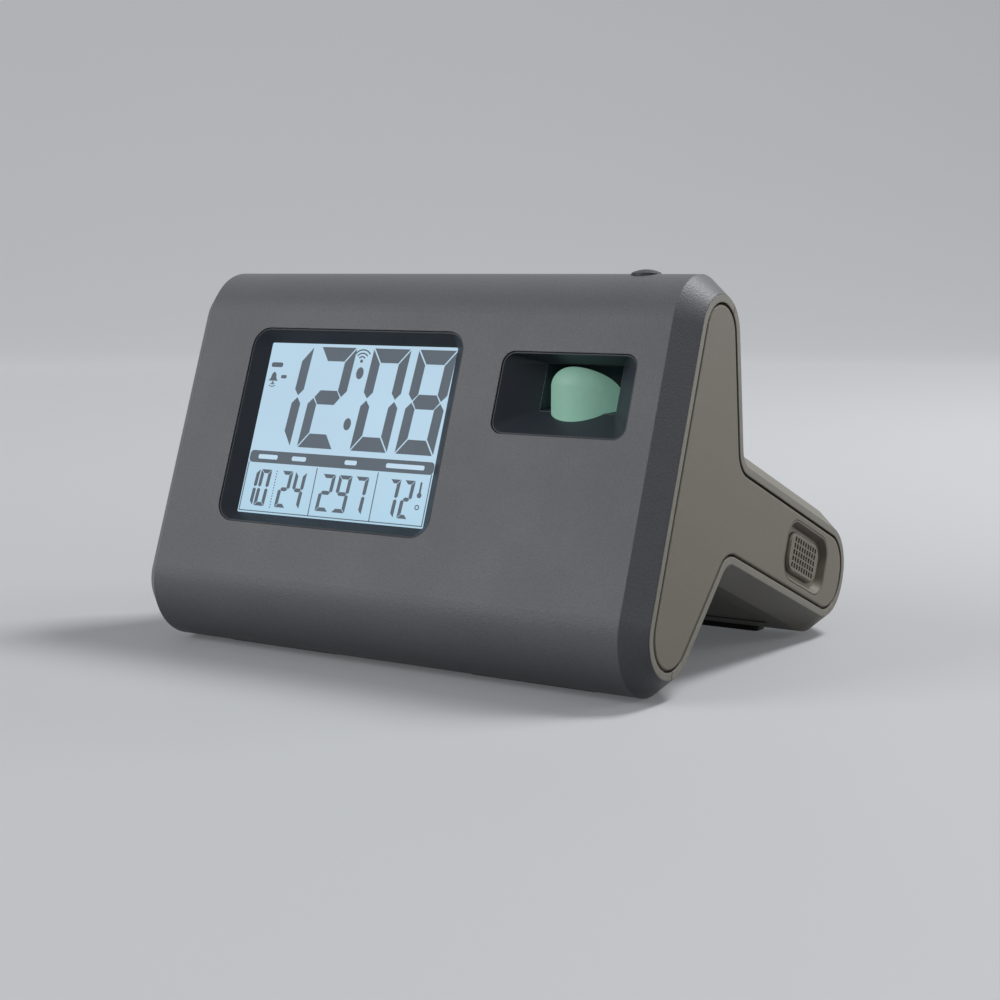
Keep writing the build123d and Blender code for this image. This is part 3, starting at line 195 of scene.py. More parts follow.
def make_grain_group():
    """Node group: fine grain for height, and slow drifts for colour and roughness."""
    group = bpy.data.node_groups.new("moulded_grain", "ShaderNodeTree")
    for title, side, kind in GRAIN_SOCKETS:
        group.interface.new_socket(title, in_out=side, socket_type=kind)
    given = group.nodes.new("NodeGroupInput").outputs
    where = own_place(group)
    scale = maths(group, "DIVIDE", 1.0, given["Grain Size"])
    grain = noise(group, where, scale, Roughness=0.6)
    cells = add_node(group, "ShaderNodeTexVoronoi", {"feature": "SMOOTH_F1"}, Vector=where,
                     Scale=scale, Smoothness=CELL_SMOOTHNESS)
    height = maths(group, "MULTIPLY_ADD", cells.outputs["Distance"], CELL_SHARE, grain)
    drift = noise(group, where, DRIFT_SCALE, detail=3.0, Roughness=0.55)
    swing = stretch(group, drift, -0.5, 0.5, *NOISE_SPREAD)
    amount = maths(group, "MULTIPLY", swing, given["Drift"])
    speck = stretch(group, grain, -SPECK, SPECK, *SPECK_SPREAD)
    brightness = maths(group, "ADD", 1.0, maths(group, "ADD", amount, speck))
    rough = add_node(group, "ShaderNodeMath", {"operation": "ADD", "use_clamp": True},
                     i0=given["Roughness"], i1=amount)
    wire(group, group.nodes.new("NodeGroupOutput"), Height=height, Roughness=rough.outputs[0],
         Colour=tinted(group, given["Colour"], brightness))
    return group


grain_group = make_grain_group()
print("group", grain_group.name, "with", len(grain_group.nodes), "nodes")

# %% [markdown]
# `plastic` is the recipe for every moulded part. The grain group feeds the Principled shader's
# colour and roughness, and a Bump node turns the group's height into a normal. A Bevel node
# before it rounds the light on the sharp edges, as the small radius that a mould always leaves
# does. A radius of zero leaves it out.

# %% The plastic recipe
GRAIN_DEPTH = 0.2               # of the grain's size
BEVEL_SAMPLES = 4


def plastic(name, colour, roughness, grain_mm, bump, drift=0.08, edge_mm=0.35, specular=0.5,
            coat=0.0):
    """Moulded plastic with its own colour, gloss, grain and edge radius."""
    material, tree, shader = new_material(name)
    grain = add_node(tree, "ShaderNodeGroup", {"node_tree": grain_group}, Colour=colour,
                     Roughness=roughness, Grain_Size=grain_mm * MM, Drift=drift).outputs
    surface = relief(tree, grain["Height"], bump, grain_mm * MM * GRAIN_DEPTH)
    if edge_mm:
        edge = add_node(tree, "ShaderNodeBevel", {"samples": BEVEL_SAMPLES}, Radius=edge_mm * MM)
        wire(tree, surface, Normal=edge.outputs["Normal"])
    wire(tree, shader, Base_Color=grain["Colour"], Roughness=grain["Roughness"],
         Normal=surface.outputs["Normal"], Specular_IOR_Level=specular, Coat_Weight=coat)
    return material


print("the grain is", GRAIN_DEPTH, "of its own size deep")

# %% [markdown]
# The clock has two main plastics: a cool charcoal front, and warm taupe for the back, the leg and
# the caps. The rims and the rear casing are a shade lighter than the inset caps. The two bezels
# are nearly black and matt, so that the display and the projector's head stand out. Their edges
# stay sharp, since a bright edge line would spoil that.

# %% Plastics of the casing
CHARCOAL = srgb(101, 103, 107)
TAUPE = srgb(123, 120, 110)
CAP_TAUPE = srgb(116, 111, 99)
NEAR_BLACK = srgb(50, 56, 64)

PLASTICS = {
    # colour, roughness, grain in mm, strength of the bump, and what differs from the usual
    "charcoal_plastic": (CHARCOAL, 0.48, 0.5, 0.7, {"specular": 0.4}),
    "taupe_plastic": (TAUPE, 0.45, 0.4, 0.45, {"drift": 0.05, "edge_mm": 0.5, "specular": 0.4}),
    "cap_plastic": (CAP_TAUPE, 0.5, 0.36, 0.35,
                    {"drift": 0.05, "edge_mm": 0.6, "specular": 0.35}),
    "dark_plastic": (NEAR_BLACK, 0.5, 0.3, 0.2, {"edge_mm": 0.0, "specular": 0.3}),
    "button_plastic": (srgb(62, 64, 68), 0.4, 0.3, 0.1, {}),
    "white_plastic": (srgb(222, 220, 212), 0.4, 0.3, 0.15, {}),
    "chip_plastic": (srgb(34, 34, 36), 0.55, 0.25, 0.4, {}),
    "light_guide": (srgb(232, 236, 240), 0.3, 0.5, 0.1, {}),
    "elastomer": (srgb(120, 112, 106), 0.7, 0.2, 0.3, {}),
    "foot_rubber": (srgb(38, 38, 39), 0.8, 0.3, 0.6, {}),
    "speaker_paper": (srgb(44, 43, 42), 0.9, 0.5, 0.8, {"drift": 0.2}),
    "lamp_plastic": (srgb(240, 236, 205), 0.1, 0.3, 0.05, {"coat": 0.5}),
}
finishes = {}
for name, (colour, roughness, grain_mm, bump, others) in PLASTICS.items():
    finishes[name] = plastic(name, colour, roughness, grain_mm, bump, **others)
print("plastics:", ", ".join(finishes))

# %% [markdown]
# Steel, the printed circuit boards and the wrapped battery cells show only where the clock is
# opened, but they get their own finishes. Plated steel is brushed by stretching a noise along one
# direction. A circuit board is a green lacquer over copper, and the copper's tracks show through
# as slightly lighter lines.

# %% Metals, boards and cells
STEEL_LINES = (300.0, 6000.0, 6000.0)   # long along X, fine across it
TRACK_SCALE = 260.0
TRACK_EDGE = (0.28, 0.36)
WRAP_EDGE = 0.012               # where the copper-coloured end of a cell's wrap begins, along X
WRAP_ROUGHNESS = (0.16, 0.3)
LACQUER, TRACK = srgb(18, 88, 46), srgb(40, 122, 66)
DARK_FILM, COPPER_FILM = srgb(46, 50, 56), srgb(196, 142, 92)


def brushed_metal(name, colour, roughness):
    """Plated metal with fine lines along its length."""
    material, tree, shader = new_material(name)
    drawn = add_node(tree, "ShaderNodeMapping", Vector=own_place(tree), Scale=STEEL_LINES)
    lines = noise(tree, drawn.outputs[0], scale=1.0)
    rough = stretch(tree, lines, roughness - 0.08, roughness + 0.12)
    surface = relief(tree, lines, strength=0.15, depth=0.02 * MM)
    wire(tree, shader, Base_Color=colour, Metallic=1.0, Roughness=rough,
         Normal=surface.outputs["Normal"])
    return material


def circuit_board(name):
    """Green lacquer with copper tracks under it."""
    material, tree, shader = new_material(name)
    grid = add_node(tree, "ShaderNodeTexVoronoi", {"distance": "MANHATTAN"},
                    Vector=own_place(tree), Scale=TRACK_SCALE)
    track = stretch(tree, grid.outputs["Distance"], 0.0, 1.0, *TRACK_EDGE)
    surface = relief(tree, track, strength=0.3, depth=0.03 * MM)
    wire(tree, shader, Base_Color=between(tree, track, LACQUER, TRACK), Roughness=0.32,
         Normal=surface.outputs["Normal"])
    return material


def battery_wrap(name):
    """Shiny printed film over a cell: dark with one copper-coloured end, and no words."""
    material, tree, shader = new_material(name)
    where = own_place(tree)
    apart = add_node(tree, "ShaderNodeSeparateXYZ", Vector=where)
    band = maths(tree, "GREATER_THAN", apart.outputs["X"], WRAP_EDGE)
    rough = stretch(tree, noise(tree, where, scale=300.0), *WRAP_ROUGHNESS)
    wire(tree, shader, Base_Color=between(tree, band, DARK_FILM, COPPER_FILM), Roughness=rough,
         Metallic=0.6)
    return material


finishes["steel"] = brushed_metal("steel", srgb(196, 196, 194), 0.28)
finishes["circuit_board"] = circuit_board("circuit_board")
finishes["cell_jacket"] = battery_wrap("cell_jacket")
print("finishes so far:", len(finishes))

# %% [markdown]
# The lenses inside are clear glass. The projector's head is not: it is frosted all through, so
# that the light under it spreads. A pale green base with a soft green glow, a little stronger low
# down, nearer to the lamp, looks right from every side and doesn't need slow light paths.

# %% Glass and the frosted head
LENS_ROUGHNESS = (0.01, 0.05)
LENS_TINT = (0.95, 0.97, 0.98, 1.0)
LENS_INDEX = 1.49
HEAD_BODY = srgb(128, 166, 150)
HEAD_GLOW_LOW = srgb(90, 126, 113)
HEAD_GLOW_HIGH = srgb(84, 114, 102)
FROST_UNEVEN = (0.94, 1.06)


def clear_glass(name):
    """Polished lens glass."""
    material, tree, shader = new_material(name)
    rough = stretch(tree, noise(tree, own_place(tree), scale=400.0), *LENS_ROUGHNESS)
    wire(tree, shader, Base_Color=LENS_TINT, Roughness=rough, Transmission_Weight=1.0,
         IOR=LENS_INDEX)
    return material


def frosted_head(name):
    """Frosted green plastic with a glow that fades upwards."""
    material, tree, shader = new_material(name)
    low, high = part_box("projector_head")
    where = own_place(tree)
    apart = add_node(tree, "ShaderNodeSeparateXYZ", Vector=where)
    level = stretch(tree, apart.outputs["Z"], 0.0, 1.0, low.z, high.z)
    frost = noise(tree, where, scale=260.0, detail=4.0, Roughness=0.6)
    cloud = stretch(tree, frost, *FROST_UNEVEN, *NOISE_SPREAD)
    glow = tinted(tree, between(tree, level, HEAD_GLOW_LOW, HEAD_GLOW_HIGH), cloud)
    surface = relief(tree, frost, strength=0.2, depth=0.03 * MM)
    wire(tree, shader, Base_Color=HEAD_BODY, Roughness=0.55, Emission_Color=glow,
         Emission_Strength=1.0, Normal=surface.outputs["Normal"])
    return material


finishes["lens_glass"] = clear_glass("lens_glass")
finishes["frosted_plastic"] = frosted_head("frosted_plastic")
print("finishes so far:", len(finishes))

# %% [markdown]
# The display is a sheet of glass with a cold light behind it. A light guide never spreads that
# light quite evenly, so the glow falls off a little towards the lower edge. The colour goes to the
# shader's emission, and the glass itself stays dark and satin, as a matt polariser is.

# %% The lit display
DISPLAY_TOP = srgb(165, 196, 216)
DISPLAY_LOW = srgb(156, 194, 215)
DISPLAY_DARK = srgb(46, 50, 56)
GLOW_UNEVEN = (0.97, 1.03)
FADE_HEIGHT = 0.02              # the glow has its full colour this far above the lower edge


def lit_display(name):
    """Backlit display glass, slightly uneven."""
    material, tree, shader = new_material(name)
    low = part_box("lcd_panel")[0]
    where = own_place(tree)
    apart = add_node(tree, "ShaderNodeSeparateXYZ", Vector=where)
    level = stretch(tree, apart.outputs["Z"], 0.0, 1.0, low.z, low.z + FADE_HEIGHT)
    uneven = stretch(tree, noise(tree, where, scale=30.0), *GLOW_UNEVEN, *NOISE_SPREAD)
    glow = tinted(tree, between(tree, level, DISPLAY_LOW, DISPLAY_TOP), uneven)
    wire(tree, shader, Emission_Color=glow, Emission_Strength=1.0, Base_Color=DISPLAY_DARK,
         Roughness=0.35, Specular_IOR_Level=0.3)
    return material


finishes["display_glass"] = lit_display("display_glass")
print("finishes:", len(finishes))

# %% [markdown]
# The CAD model's record names one finish for every node, so a single loop dresses them all. It
# clears what the mesh has and gives it that material.

# %% Give every CAD node its finish
for part in frame["record"]["subparts"]:
    mesh = nodes[part["node"]].data
    mesh.materials.clear()
    mesh.materials.append(finishes[part["material_slot"]])

# %% [markdown]
# The marks on the display are liquid crystal segments: flat shapes with sharp corners, a hair
# above the glass. They are real geometry here, thin plates, so they stay crisp at any distance.
# First comes a small coordinate system on the glass: x along its lower edge and y up its slope,
# in millimetres, from the lower left corner of the lit area. It is read from the display's own
# mesh, so it follows the CAD model.

# %% Coordinates on the display
FACE_LEAN = radians(19.74)
GLASS_MARGIN = 2.2              # glass hidden under the bezel, all round
ACROSS = Vector((1, 0, 0))
UPHILL = Vector((0, sin(FACE_LEAN), cos(FACE_LEAN)))
OUTWARD = Vector((0, -cos(FACE_LEAN), sin(FACE_LEAN)))

glass = [v.co for v in nodes["lcd_panel"].data.vertices]
glass_left = min(v.dot(ACROSS) for v in glass) / MM
glass_foot = min(v.dot(UPHILL) for v in glass) / MM
glass_front = max(v.dot(OUTWARD) for v in glass) / MM
glass_w = max(v.dot(ACROSS) for v in glass) / MM - glass_left - 2 * GLASS_MARGIN
glass_h = max(v.dot(UPHILL) for v in glass) / MM - glass_foot - 2 * GLASS_MARGIN


def on_glass(x, y, lift):
    """Point on the display in metres, from millimetres along it, up it and off it."""
    across = (glass_left + GLASS_MARGIN + x) * ACROSS
    uphill = (glass_foot + GLASS_MARGIN + y) * UPHILL
    return (across + uphill + (glass_front + lift) * OUTWARD) * MM


print("lit area", round(glass_w, 1), "by", round(glass_h, 1), "mm")

# %% [markdown]
# Each mark is an outline, and `plates` turns a list of outlines into one mesh of thin plates. An
# outline is just its corner points in order, so a seven-segment digit, a bar and an arc all go
# through the same function.

# %% Thin plates from outlines
MARK_LIFT = 0.03
MARK_THICK = 0.04


def plates(name, outlines, material, body="casing", lift=MARK_LIFT, thick=MARK_THICK):
    """One piece of thin flat plates on the display, from their outlines in millimetres."""
    points, faces = [], []
    for outline in outlines:
        start, count = len(points), len(outline)
        for height in (lift, lift + thick):
            points += [on_glass(x, y, height) for x, y in outline]
        faces.append([start + i for i in reversed(range(count))])
        faces.append([start + count + i for i in range(count)])
        for i in range(count):
            j = (i + 1) % count
            faces.append([start + i, start + j, start + count + j, start + count + i])
    mesh = bpy.data.meshes.new(name)
    mesh.from_pydata(points, [], faces)
    mesh.materials.append(material)
    piece = bpy.data.objects.new(name, mesh)
    bpy.context.scene.collection.objects.link(piece)
    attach(piece, body)
    print(name, "has", len(outlines), "plates")


def counter_clockwise(outline):
    """The outline, turned round if its corners run clockwise."""
    area = 0.0
    for (x0, y0), (x1, y1) in zip(outline, outline[1:] + outline[:1]):
        area += x0 * y1 - x1 * y0
    return outline if area > 0 else outline[::-1]


print("plates are", MARK_THICK, "mm thick and", MARK_LIFT, "mm off the glass")

# %% [markdown]
# Besides the digits and the bell, which have shapes of their own, there are four kinds of outline:
# ovals, boxes with round corners, thin lines, and bands along an arc, which go out along one
# radius and back on another.

# %% Ovals, boxes, lines and arcs
LINE = 0.28                     # width of a line


def oval(cx, cy, w, h, steps=20):
    """Outline of an oval of width w and height h."""
    turns = [radians(360 * i / steps) for i in range(steps)]
    return [(cx + w / 2 * cos(a), cy + h / 2 * sin(a)) for a in turns]


def rounded_box(x0, y0, x1, y1, r, steps=5):
    """Outline of a box with round corners."""
    left, right, low, high = x0 + r, x1 - r, y0 + r, y1 - r
    outline = []
    for cx, cy, start in ((right, low, -90), (right, high, 0), (left, high, 90), (left, low, 180)):
        for i in range(steps + 1):
            a = radians(start + 90 * i / steps)
            outline.append((cx + r * cos(a), cy + r * sin(a)))
    return outline


def line(x0, y0, x1, y1):
    """Thin bar from a lower left point to an upper right one, along X or Y."""
    half = LINE / 2
    return [(x0 - half, y0 - half), (x1 + half, y0 - half), (x1 + half, y1 + half),
            (x0 - half, y1 + half)]


def arc_band(cx, cy, r0, r1, start, end, steps=14):
    """Outline of a band between two radii, from one angle to another in degrees."""
    angles = [radians(start + (end - start) * i / steps) for i in range(steps + 1)]
    outer = [(cx + r1 * cos(a), cy + r1 * sin(a)) for a in angles]
    inner = [(cx + r0 * cos(a), cy + r0 * sin(a)) for a in reversed(angles)]
    return outer + inner


print("an oval has", len(oval(0, 0, 1, 1)), "corners")

# %% [markdown]
# A seven-segment digit is a frame of six mitred bars with a pointed bar across the middle. All
# digits lean to the right by the same small angle. The small row at the foot of the display uses
# the same shapes with thinner bars. The table has all ten digits, so any number can be set.

# %% Seven-segment digits
DIGIT_LEAN = tan(radians(2.9))
LIT_SEGMENTS = {
    "0": "abcdef", "1": "bc", "2": "abged", "3": "abgcd", "4": "fgbc",
    "5": "afgcd", "6": "afgedc", "7": "abc", "8": "abcdefg", "9": "abcdfg",
}


def segment_shapes(w, h, bar_w, bar_h, gap):
    """Outlines of the seven bars of a digit of width w and height h."""
    mid, tip = h / 2, bar_h / 2
    left_up = [(0, h - gap), (bar_w, h - bar_h - gap), (bar_w, mid + tip), (bar_w / 2, mid + gap),
               (0, mid + tip)]
    shapes = {
        "a": [(gap, h), (w - gap, h), (w - bar_w - gap, h - bar_h), (bar_w + gap, h - bar_h)],
        "f": left_up,
        "b": [(w - x, y) for x, y in left_up],
        "e": [(x, h - y) for x, y in left_up],
        "c": [(w - x, h - y) for x, y in left_up],
        "g": [(bar_w / 2 + gap, mid), (bar_w + gap, mid + tip), (w - bar_w - gap, mid + tip),
              (w - bar_w / 2 - gap, mid), (w - bar_w - gap, mid - tip), (bar_w + gap, mid - tip)],
    }
    shapes["d"] = [(x, h - y) for x, y in shapes["a"]]
    return shapes


def lean(outline, left, foot, h):
    """Moves an outline to its place and leans it about its middle height."""
    moved = [(left + x + (y - h / 2) * DIGIT_LEAN, foot + y) for x, y in outline]
    return counter_clockwise(moved)


def number(text, left, foot, w, h, bar_w, bar_h, gap, pitch):
    """Outlines of a row of digits."""
    shapes = segment_shapes(w, h, bar_w, bar_h, gap)
    outlines = []
    for place, digit in enumerate(text):
        for letter in LIT_SEGMENTS[digit]:
            outlines.append(lean(shapes[letter], left + place * pitch, foot, h))
    return outlines


print("digits that can be set:", "".join(LIT_SEGMENTS))

# %% [markdown]
# The time has the largest digits, and the two ovals of its colon stand along the same slant. The
# marks aren't black: a liquid crystal only dims the light behind it. So the ink is a slate blue,
# and a little uneven.

# %% The time
INK = srgb(86, 104, 120)
INK_UNEVEN = (0.9, 1.1)
TIME_FOOT = 19.9
TIME_W, TIME_H = 12.7, 29.5
TIME_BAR_W, TIME_BAR_H = 3.1, 4.1
TIME_GAP = 0.32
TIME_PITCH = 15.4
HOURS_LEFT = 2.0
MINUTES_LEFT = 36.1
COLON_W, COLON_H = 2.5, 3.5
COLON_X = 33.1
COLON_HEIGHTS = (27.3, 42.1)


def segment_ink(name, colour):
    """Dark liquid crystal, a little uneven."""
    material, tree, shader = new_material(name)
    blotch = noise(tree, own_place(tree), scale=70.0)
    uneven = stretch(tree, blotch, *INK_UNEVEN, *NOISE_SPREAD)
    wire(tree, shader, Base_Color=tinted(tree, colour, uneven), Roughness=0.4,
         Specular_IOR_Level=0.3)
    return material


dark_ink = segment_ink("segment_ink", INK)
time_look = (TIME_FOOT, TIME_W, TIME_H, TIME_BAR_W, TIME_BAR_H, TIME_GAP, TIME_PITCH)
time_marks = number("12", HOURS_LEFT, *time_look) + number("08", MINUTES_LEFT, *time_look)
for y in COLON_HEIGHTS:
    x = COLON_X + (y - TIME_FOOT - TIME_H / 2) * DIGIT_LEAN
    time_marks.append(oval(x, y, COLON_W, COLON_H))
plates("time_digits", time_marks, dark_ink)

# %% [markdown]
# Under the time runs a dark band with four pale bars, where a maker would print headings. On a
# real display the band is one dark stripe with clear spots in it. Cutting holes in a plate takes
# more work than laying plates on it, so the bars lie a hair above the band, with the display's own
# glow.

# %% The dark band and its bars
BAND_LOW, BAND_HIGH = 14.7, 18.2
BAND_LEFT, BAND_RIGHT = 0.4, glass_w - 0.1
BAND_CORNER = 1.2
BARS = ((3.6, 10.6), (15.8, 20.9), (34.6, 38.8), (48.8, 61.6))
BAR_HEIGHT = 1.3
BAR_CORNER = 0.5
BAR_LIFT = MARK_LIFT + MARK_THICK + 0.01
BAR_THICK = 0.02
WINDOW_UNEVEN = (0.94, 1.04)


def clear_window(name):
    """Clear spot in the dark band, where the light from behind comes through."""
    material, tree, shader = new_material(name)
    blotch = noise(tree, own_place(tree), scale=90.0)
    uneven = stretch(tree, blotch, *WINDOW_UNEVEN, *NOISE_SPREAD)
    wire(tree, shader, Emission_Color=tinted(tree, DISPLAY_TOP, uneven), Emission_Strength=1.0,
         Base_Color=DISPLAY_DARK, Roughness=0.35)
    return material


band = rounded_box(BAND_LEFT, BAND_LOW, BAND_RIGHT, BAND_HIGH, BAND_CORNER)
plates("display_band", [band], dark_ink)
bar_middle = (BAND_LOW + BAND_HIGH) / 2
bar_low, bar_high = bar_middle - BAR_HEIGHT / 2, bar_middle + BAR_HEIGHT / 2
bars = [rounded_box(x0, bar_low, x1, bar_high, BAR_CORNER) for x0, x1 in BARS]
plates("band_bars", bars, clear_window("clear_window"), lift=BAR_LIFT, thick=BAR_THICK)

# %% [markdown]
# Under the band stands a row of four small fields: month, day, day of the year and temperature.
# They aren't equally wide, so each number has its own place, width and pitch.

# %% The row of small numbers
SMALL_FOOT = 2.2
SMALL_H = 10.6
SMALL_BAR = 1.1
SMALL_GAP = 0.14
SMALL_NUMBERS = (
    # digits, left edge, width of a digit, pitch
    ("10", 1.3, 3.8, 4.3),
    ("24", 13.2, 3.9, 4.9),
    ("297", 27.8, 4.5, 5.75),
    ("72", 51.1, 3.5, 4.75),
)
small_marks = []
for text, left, w, pitch in SMALL_NUMBERS:
    small_marks += number(text, left, SMALL_FOOT, w, SMALL_H, SMALL_BAR, SMALL_BAR, SMALL_GAP,
                          pitch)
plates("small_digits", small_marks, dark_ink)

# %% [markdown]
# Thin lines close the fields in: one along the foot, one up each side and two between them. The
# month and the day are parted by dots, which are the same plates as the lines, only shorter.

# %% Field lines
FIELD_LOW = 0.6
FIELD_HIGH = BAND_LOW - 0.5
SIDES = (0.5, glass_w - 0.5)
FIELD_EDGES = (25.5, 46.7)
DOTTED_X = 11.45
DOTS = 14
DOTS_FOOT = 2.0
DOT_PITCH = 0.8
DOT_LENGTH = 0.12

lines = [line(SIDES[0], FIELD_LOW, SIDES[1], FIELD_LOW)]
for x in FIELD_EDGES:
    lines.append(line(x, FIELD_LOW, x, FIELD_HIGH))
for x in SIDES:
    lines.append(line(x, FIELD_LOW, x, BAND_LOW))
for i in range(DOTS):
    y = DOTS_FOOT + i * DOT_PITCH
    lines.append(line(DOTTED_X, y, DOTTED_X, y + DOT_LENGTH))
plates("field_lines", lines, dark_ink)

# %% [markdown]
# A few pictograms finish the display: three arcs and a dot for the radio signal, a bell for the
# alarm, a small thermometer and the degree ring. Two short bars stand by the bell, where a maker
# would print words.

# %% Pictograms
SIGNAL_X, SIGNAL_Y = 33.2, 45.6
SIGNAL_DOT = 1.0
SIGNAL_RADII = (1.3, 2.3, 3.3)
SIGNAL_HALF = 0.2               # half the width of an arc
SIGNAL_SPREAD = (40, 140)       # degrees, open upwards
BELL_X, BELL_Y = 2.9, 38.9
BELL_SHAPE = ((-1.7, 0), (1.7, 0), (1.0, 0.8), (0.8, 1.9), (0.3, 2.6), (-0.3, 2.6), (-0.8, 1.9),
              (-1.0, 0.8))
CLAPPER_Y = BELL_Y - 0.5
CLAPPER = 0.7
RINGING_Y = BELL_Y + 0.3
RINGING_RADII = (1.3, 2.0)
RINGING_HALF = 0.12
RINGING_SPREAD = (235, 305)     # degrees, open downwards
WORD_BARS = (
    # left, low, right, high, corner
    (5.6, 39.7, 7.6, 40.7, 0.4),
    (1.2, 43.0, 5.4, 44.4, 0.6),
)
THERMO_X = 61.6
TUBE_HALF = 0.3
TUBE_LOW, TUBE_HIGH = 9.4, 12.6
TUBE_CORNER = 0.28
BULB_Y, BULB = 8.9, 1.5
DEGREE_Y = 5.6
DEGREE_RADII = (0.45, 0.75)
ALL_ROUND = (0, 359)

signs = [oval(SIGNAL_X, SIGNAL_Y, SIGNAL_DOT, SIGNAL_DOT)]
for r in SIGNAL_RADII:
    signs.append(arc_band(SIGNAL_X, SIGNAL_Y, r - SIGNAL_HALF, r + SIGNAL_HALF, *SIGNAL_SPREAD))
signs.append([(BELL_X + x, BELL_Y + y) for x, y in BELL_SHAPE])
signs.append(oval(BELL_X, CLAPPER_Y, CLAPPER, CLAPPER))
for r in RINGING_RADII:
    signs.append(arc_band(BELL_X, RINGING_Y, r - RINGING_HALF, r + RINGING_HALF, *RINGING_SPREAD))
signs += [rounded_box(*bar) for bar in WORD_BARS]
tube_left, tube_right = THERMO_X - TUBE_HALF, THERMO_X + TUBE_HALF
signs.append(rounded_box(tube_left, TUBE_LOW, tube_right, TUBE_HIGH, TUBE_CORNER))
signs.append(oval(THERMO_X, BULB_Y, BULB, BULB))
signs.append(arc_band(THERMO_X, DEGREE_Y, *DEGREE_RADII, *ALL_ROUND))
plates("pictograms", [counter_clockwise(s) for s in signs], dark_ink)

# %% [markdown]
# The studio is a sheet of pale paper with a pale world around it. Pale paper also throws light on
# the underside of the clock, which should stay dark. A Light Path node mends that, since it tells
# what kind of ray is asking. The camera, and glossy and clear surfaces, see bright paper, and the
# light that bounces off it on to the clock is weaker. The world is split in the same way.

# %% A switch for what is seen
def seen_directly(tree):
    """1 for rays from the camera, a mirror or a lens, and 0 for rays that light a dull surface."""
    rays = add_node(tree, "ShaderNodeLightPath").outputs
    direct = maths(tree, "MAXIMUM", rays["Is Camera Ray"], rays["Is Glossy Ray"])
    return maths(tree, "MAXIMUM", direct, rays["Is Transmission Ray"])


print("seen directly: camera, glossy and transmission rays")

# %% [markdown]
# The paper itself is matt and faintly clouded. Far from the clock it glows a little, to stay pale
# out there. Close by it glows only a quarter as much, because there it takes the clock's shadow.
# Seen from below it is clear, so that the clock's underside can be looked at.

# %% The paper
PAPER_SEEN = srgb(178, 180, 183)
PAPER_BOUNCE = srgb(62, 62, 64)
PAPER_GLOW = srgb(150, 152, 155)
PAPER_UNEVEN = (0.985, 1.015)
NEAR, FAR = 0.15, 1.6           # the glow grows between these distances from the clock
NEAR_GLOW = 0.25                # the share of it at the near one


def paper_finish(name):
    """Faintly clouded paper that bounces less light than it shows, and is clear from below."""
    material, tree, shader = new_material(name)
    direct = seen_directly(tree)
    where = own_place(tree)
    tone = stretch(tree, noise(tree, where, scale=8.0, detail=3.0), *PAPER_UNEVEN)
    paper = between(tree, direct, PAPER_BOUNCE, PAPER_SEEN)
    far = add_node(tree, "ShaderNodeVectorMath", {"operation": "LENGTH"}, i0=where)
    growth = stretch(tree, far.outputs["Value"], NEAR_GLOW, 1.0, NEAR, FAR)
    wire(tree, shader, Base_Color=tinted(tree, paper, tone), Emission_Color=PAPER_GLOW,
         Emission_Strength=maths(tree, "MULTIPLY", direct, growth), Roughness=0.6,
         Specular_IOR_Level=0.2)
    below = add_node(tree, "ShaderNodeNewGeometry").outputs["Backfacing"]
    clear = add_node(tree, "ShaderNodeBsdfTransparent")
    both = add_node(tree, "ShaderNodeMixShader", i0=below, i1=shader.outputs[0],
                    i2=clear.outputs[0])
    wire(tree, tree.nodes["Material Output"], Surface=both.outputs[0])
    return material


paper = paper_finish("studio_paper")
print("paper nodes:", len(paper.node_tree.nodes))

# %% [markdown]
# The paper lies under the clock and bends up behind it, as photographers hang it, so that no edge
# shows between floor and wall. Its profile is a straight floor, a quarter of a circle and a
# straight wall, drawn out to both sides and turned to face the camera.

# %% The roll of paper
FLOOR_FRONT = 4.0
BACKDROP_PLACE = 1.8            # where the floor starts to curve up, behind the clock
BACKDROP_BEND = 1.6
BACKDROP_TOP = 6.0
HALF_WIDTH = 6.0
BEND_STEPS = 32


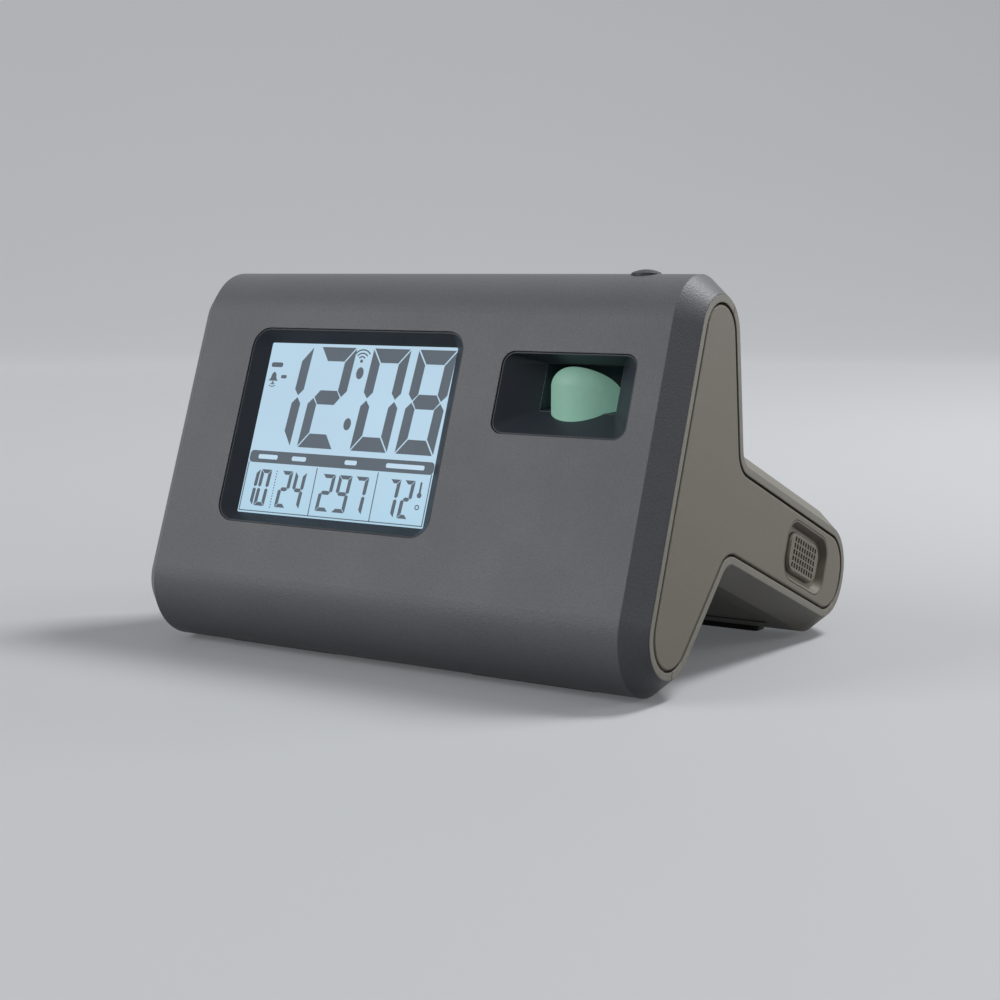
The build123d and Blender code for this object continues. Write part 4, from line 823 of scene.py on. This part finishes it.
def pale_sweep():
    """Pale floor that bends up into a backdrop."""
    profile = [(-FLOOR_FRONT, 0.0)]
    for i in range(BEND_STEPS + 1):
        a = radians(90 * i / BEND_STEPS)
        profile.append((BACKDROP_PLACE + BACKDROP_BEND * sin(a), BACKDROP_BEND * (1 - cos(a))))
    profile.append((BACKDROP_PLACE + BACKDROP_BEND, BACKDROP_TOP))
    points = [(x, y, z) for y, z in profile for x in (-HALF_WIDTH, HALF_WIDTH)]
    faces = [(2 * i, 2 * i + 1, 2 * i + 3, 2 * i + 2) for i in range(len(profile) - 1)]
    mesh = bpy.data.meshes.new("studio_floor")
    mesh.from_pydata(points, [], faces)
    mesh.shade_smooth()
    mesh.materials.append(paper)
    floor = bpy.data.objects.new("studio_floor", mesh)
    floor.rotation_euler.z = CAMERA_TURN
    bpy.context.scene.collection.objects.link(floor)
    return floor


print("backdrop:", pale_sweep().name)

# %% [markdown]
# The world sends a weak white light from all sides, so that no corner is quite black. Where it is
# seen directly, such as in a reflection, it is a pale grey like the paper's.

# %% The world
SOFT_LIGHT = 0.2
PALE_AIR = srgb(184, 186, 190)

world = bpy.data.worlds.new("studio")
bpy.context.scene.world = world
world.use_nodes = True
sky = world.node_tree
soft = add_node(sky, "ShaderNodeBackground", Color=(1.0, 1.0, 1.0, 1.0), Strength=SOFT_LIGHT)
pale = add_node(sky, "ShaderNodeBackground", Color=PALE_AIR, Strength=1.0)
split = add_node(sky, "ShaderNodeMixShader", i0=seen_directly(sky), i1=soft.outputs[0],
                 i2=pale.outputs[0])
wire(sky, sky.nodes["World Output"], Surface=split.outputs[0])
bpy.context.scene.view_settings.view_transform = "Standard"
print("world nodes:", len(sky.nodes))

# %% [markdown]
# Three square area lamps do the rest. The fill stands in front, to the left and above, and lights
# the leaning face. The key stands low behind the right end: it lights the end cap and draws a
# light line along the leg, while the bevel beside the face stays dark. A smaller lamp overhead
# puts the gleam on the upper corner.

# %% Lamps
AIM = (0, 0, 0.05)
LAMPS = (
    # name, place, size, watts
    ("key", (1.15, 1.15, 0.4), 0.7, 8.8),
    ("gleam", (0.46, 0.65, 1.41), 0.4, 19.0),
    ("fill", (-1.0, -1.45, 0.9), 1.0, 16.5),
)


def soft_lamp(name, place, size, power):
    """Square area lamp at a place, turned to the clock."""
    data = bpy.data.lights.new(name, "AREA")
    data.size = size
    data.energy = power
    lamp = bpy.data.objects.new(name, data)
    lamp.location = place
    lamp.rotation_euler = (Vector(AIM) - Vector(place)).to_track_quat("-Z", "Y").to_euler()
    bpy.context.scene.collection.objects.link(lamp)


for lamp_row in LAMPS:
    soft_lamp(*lamp_row)
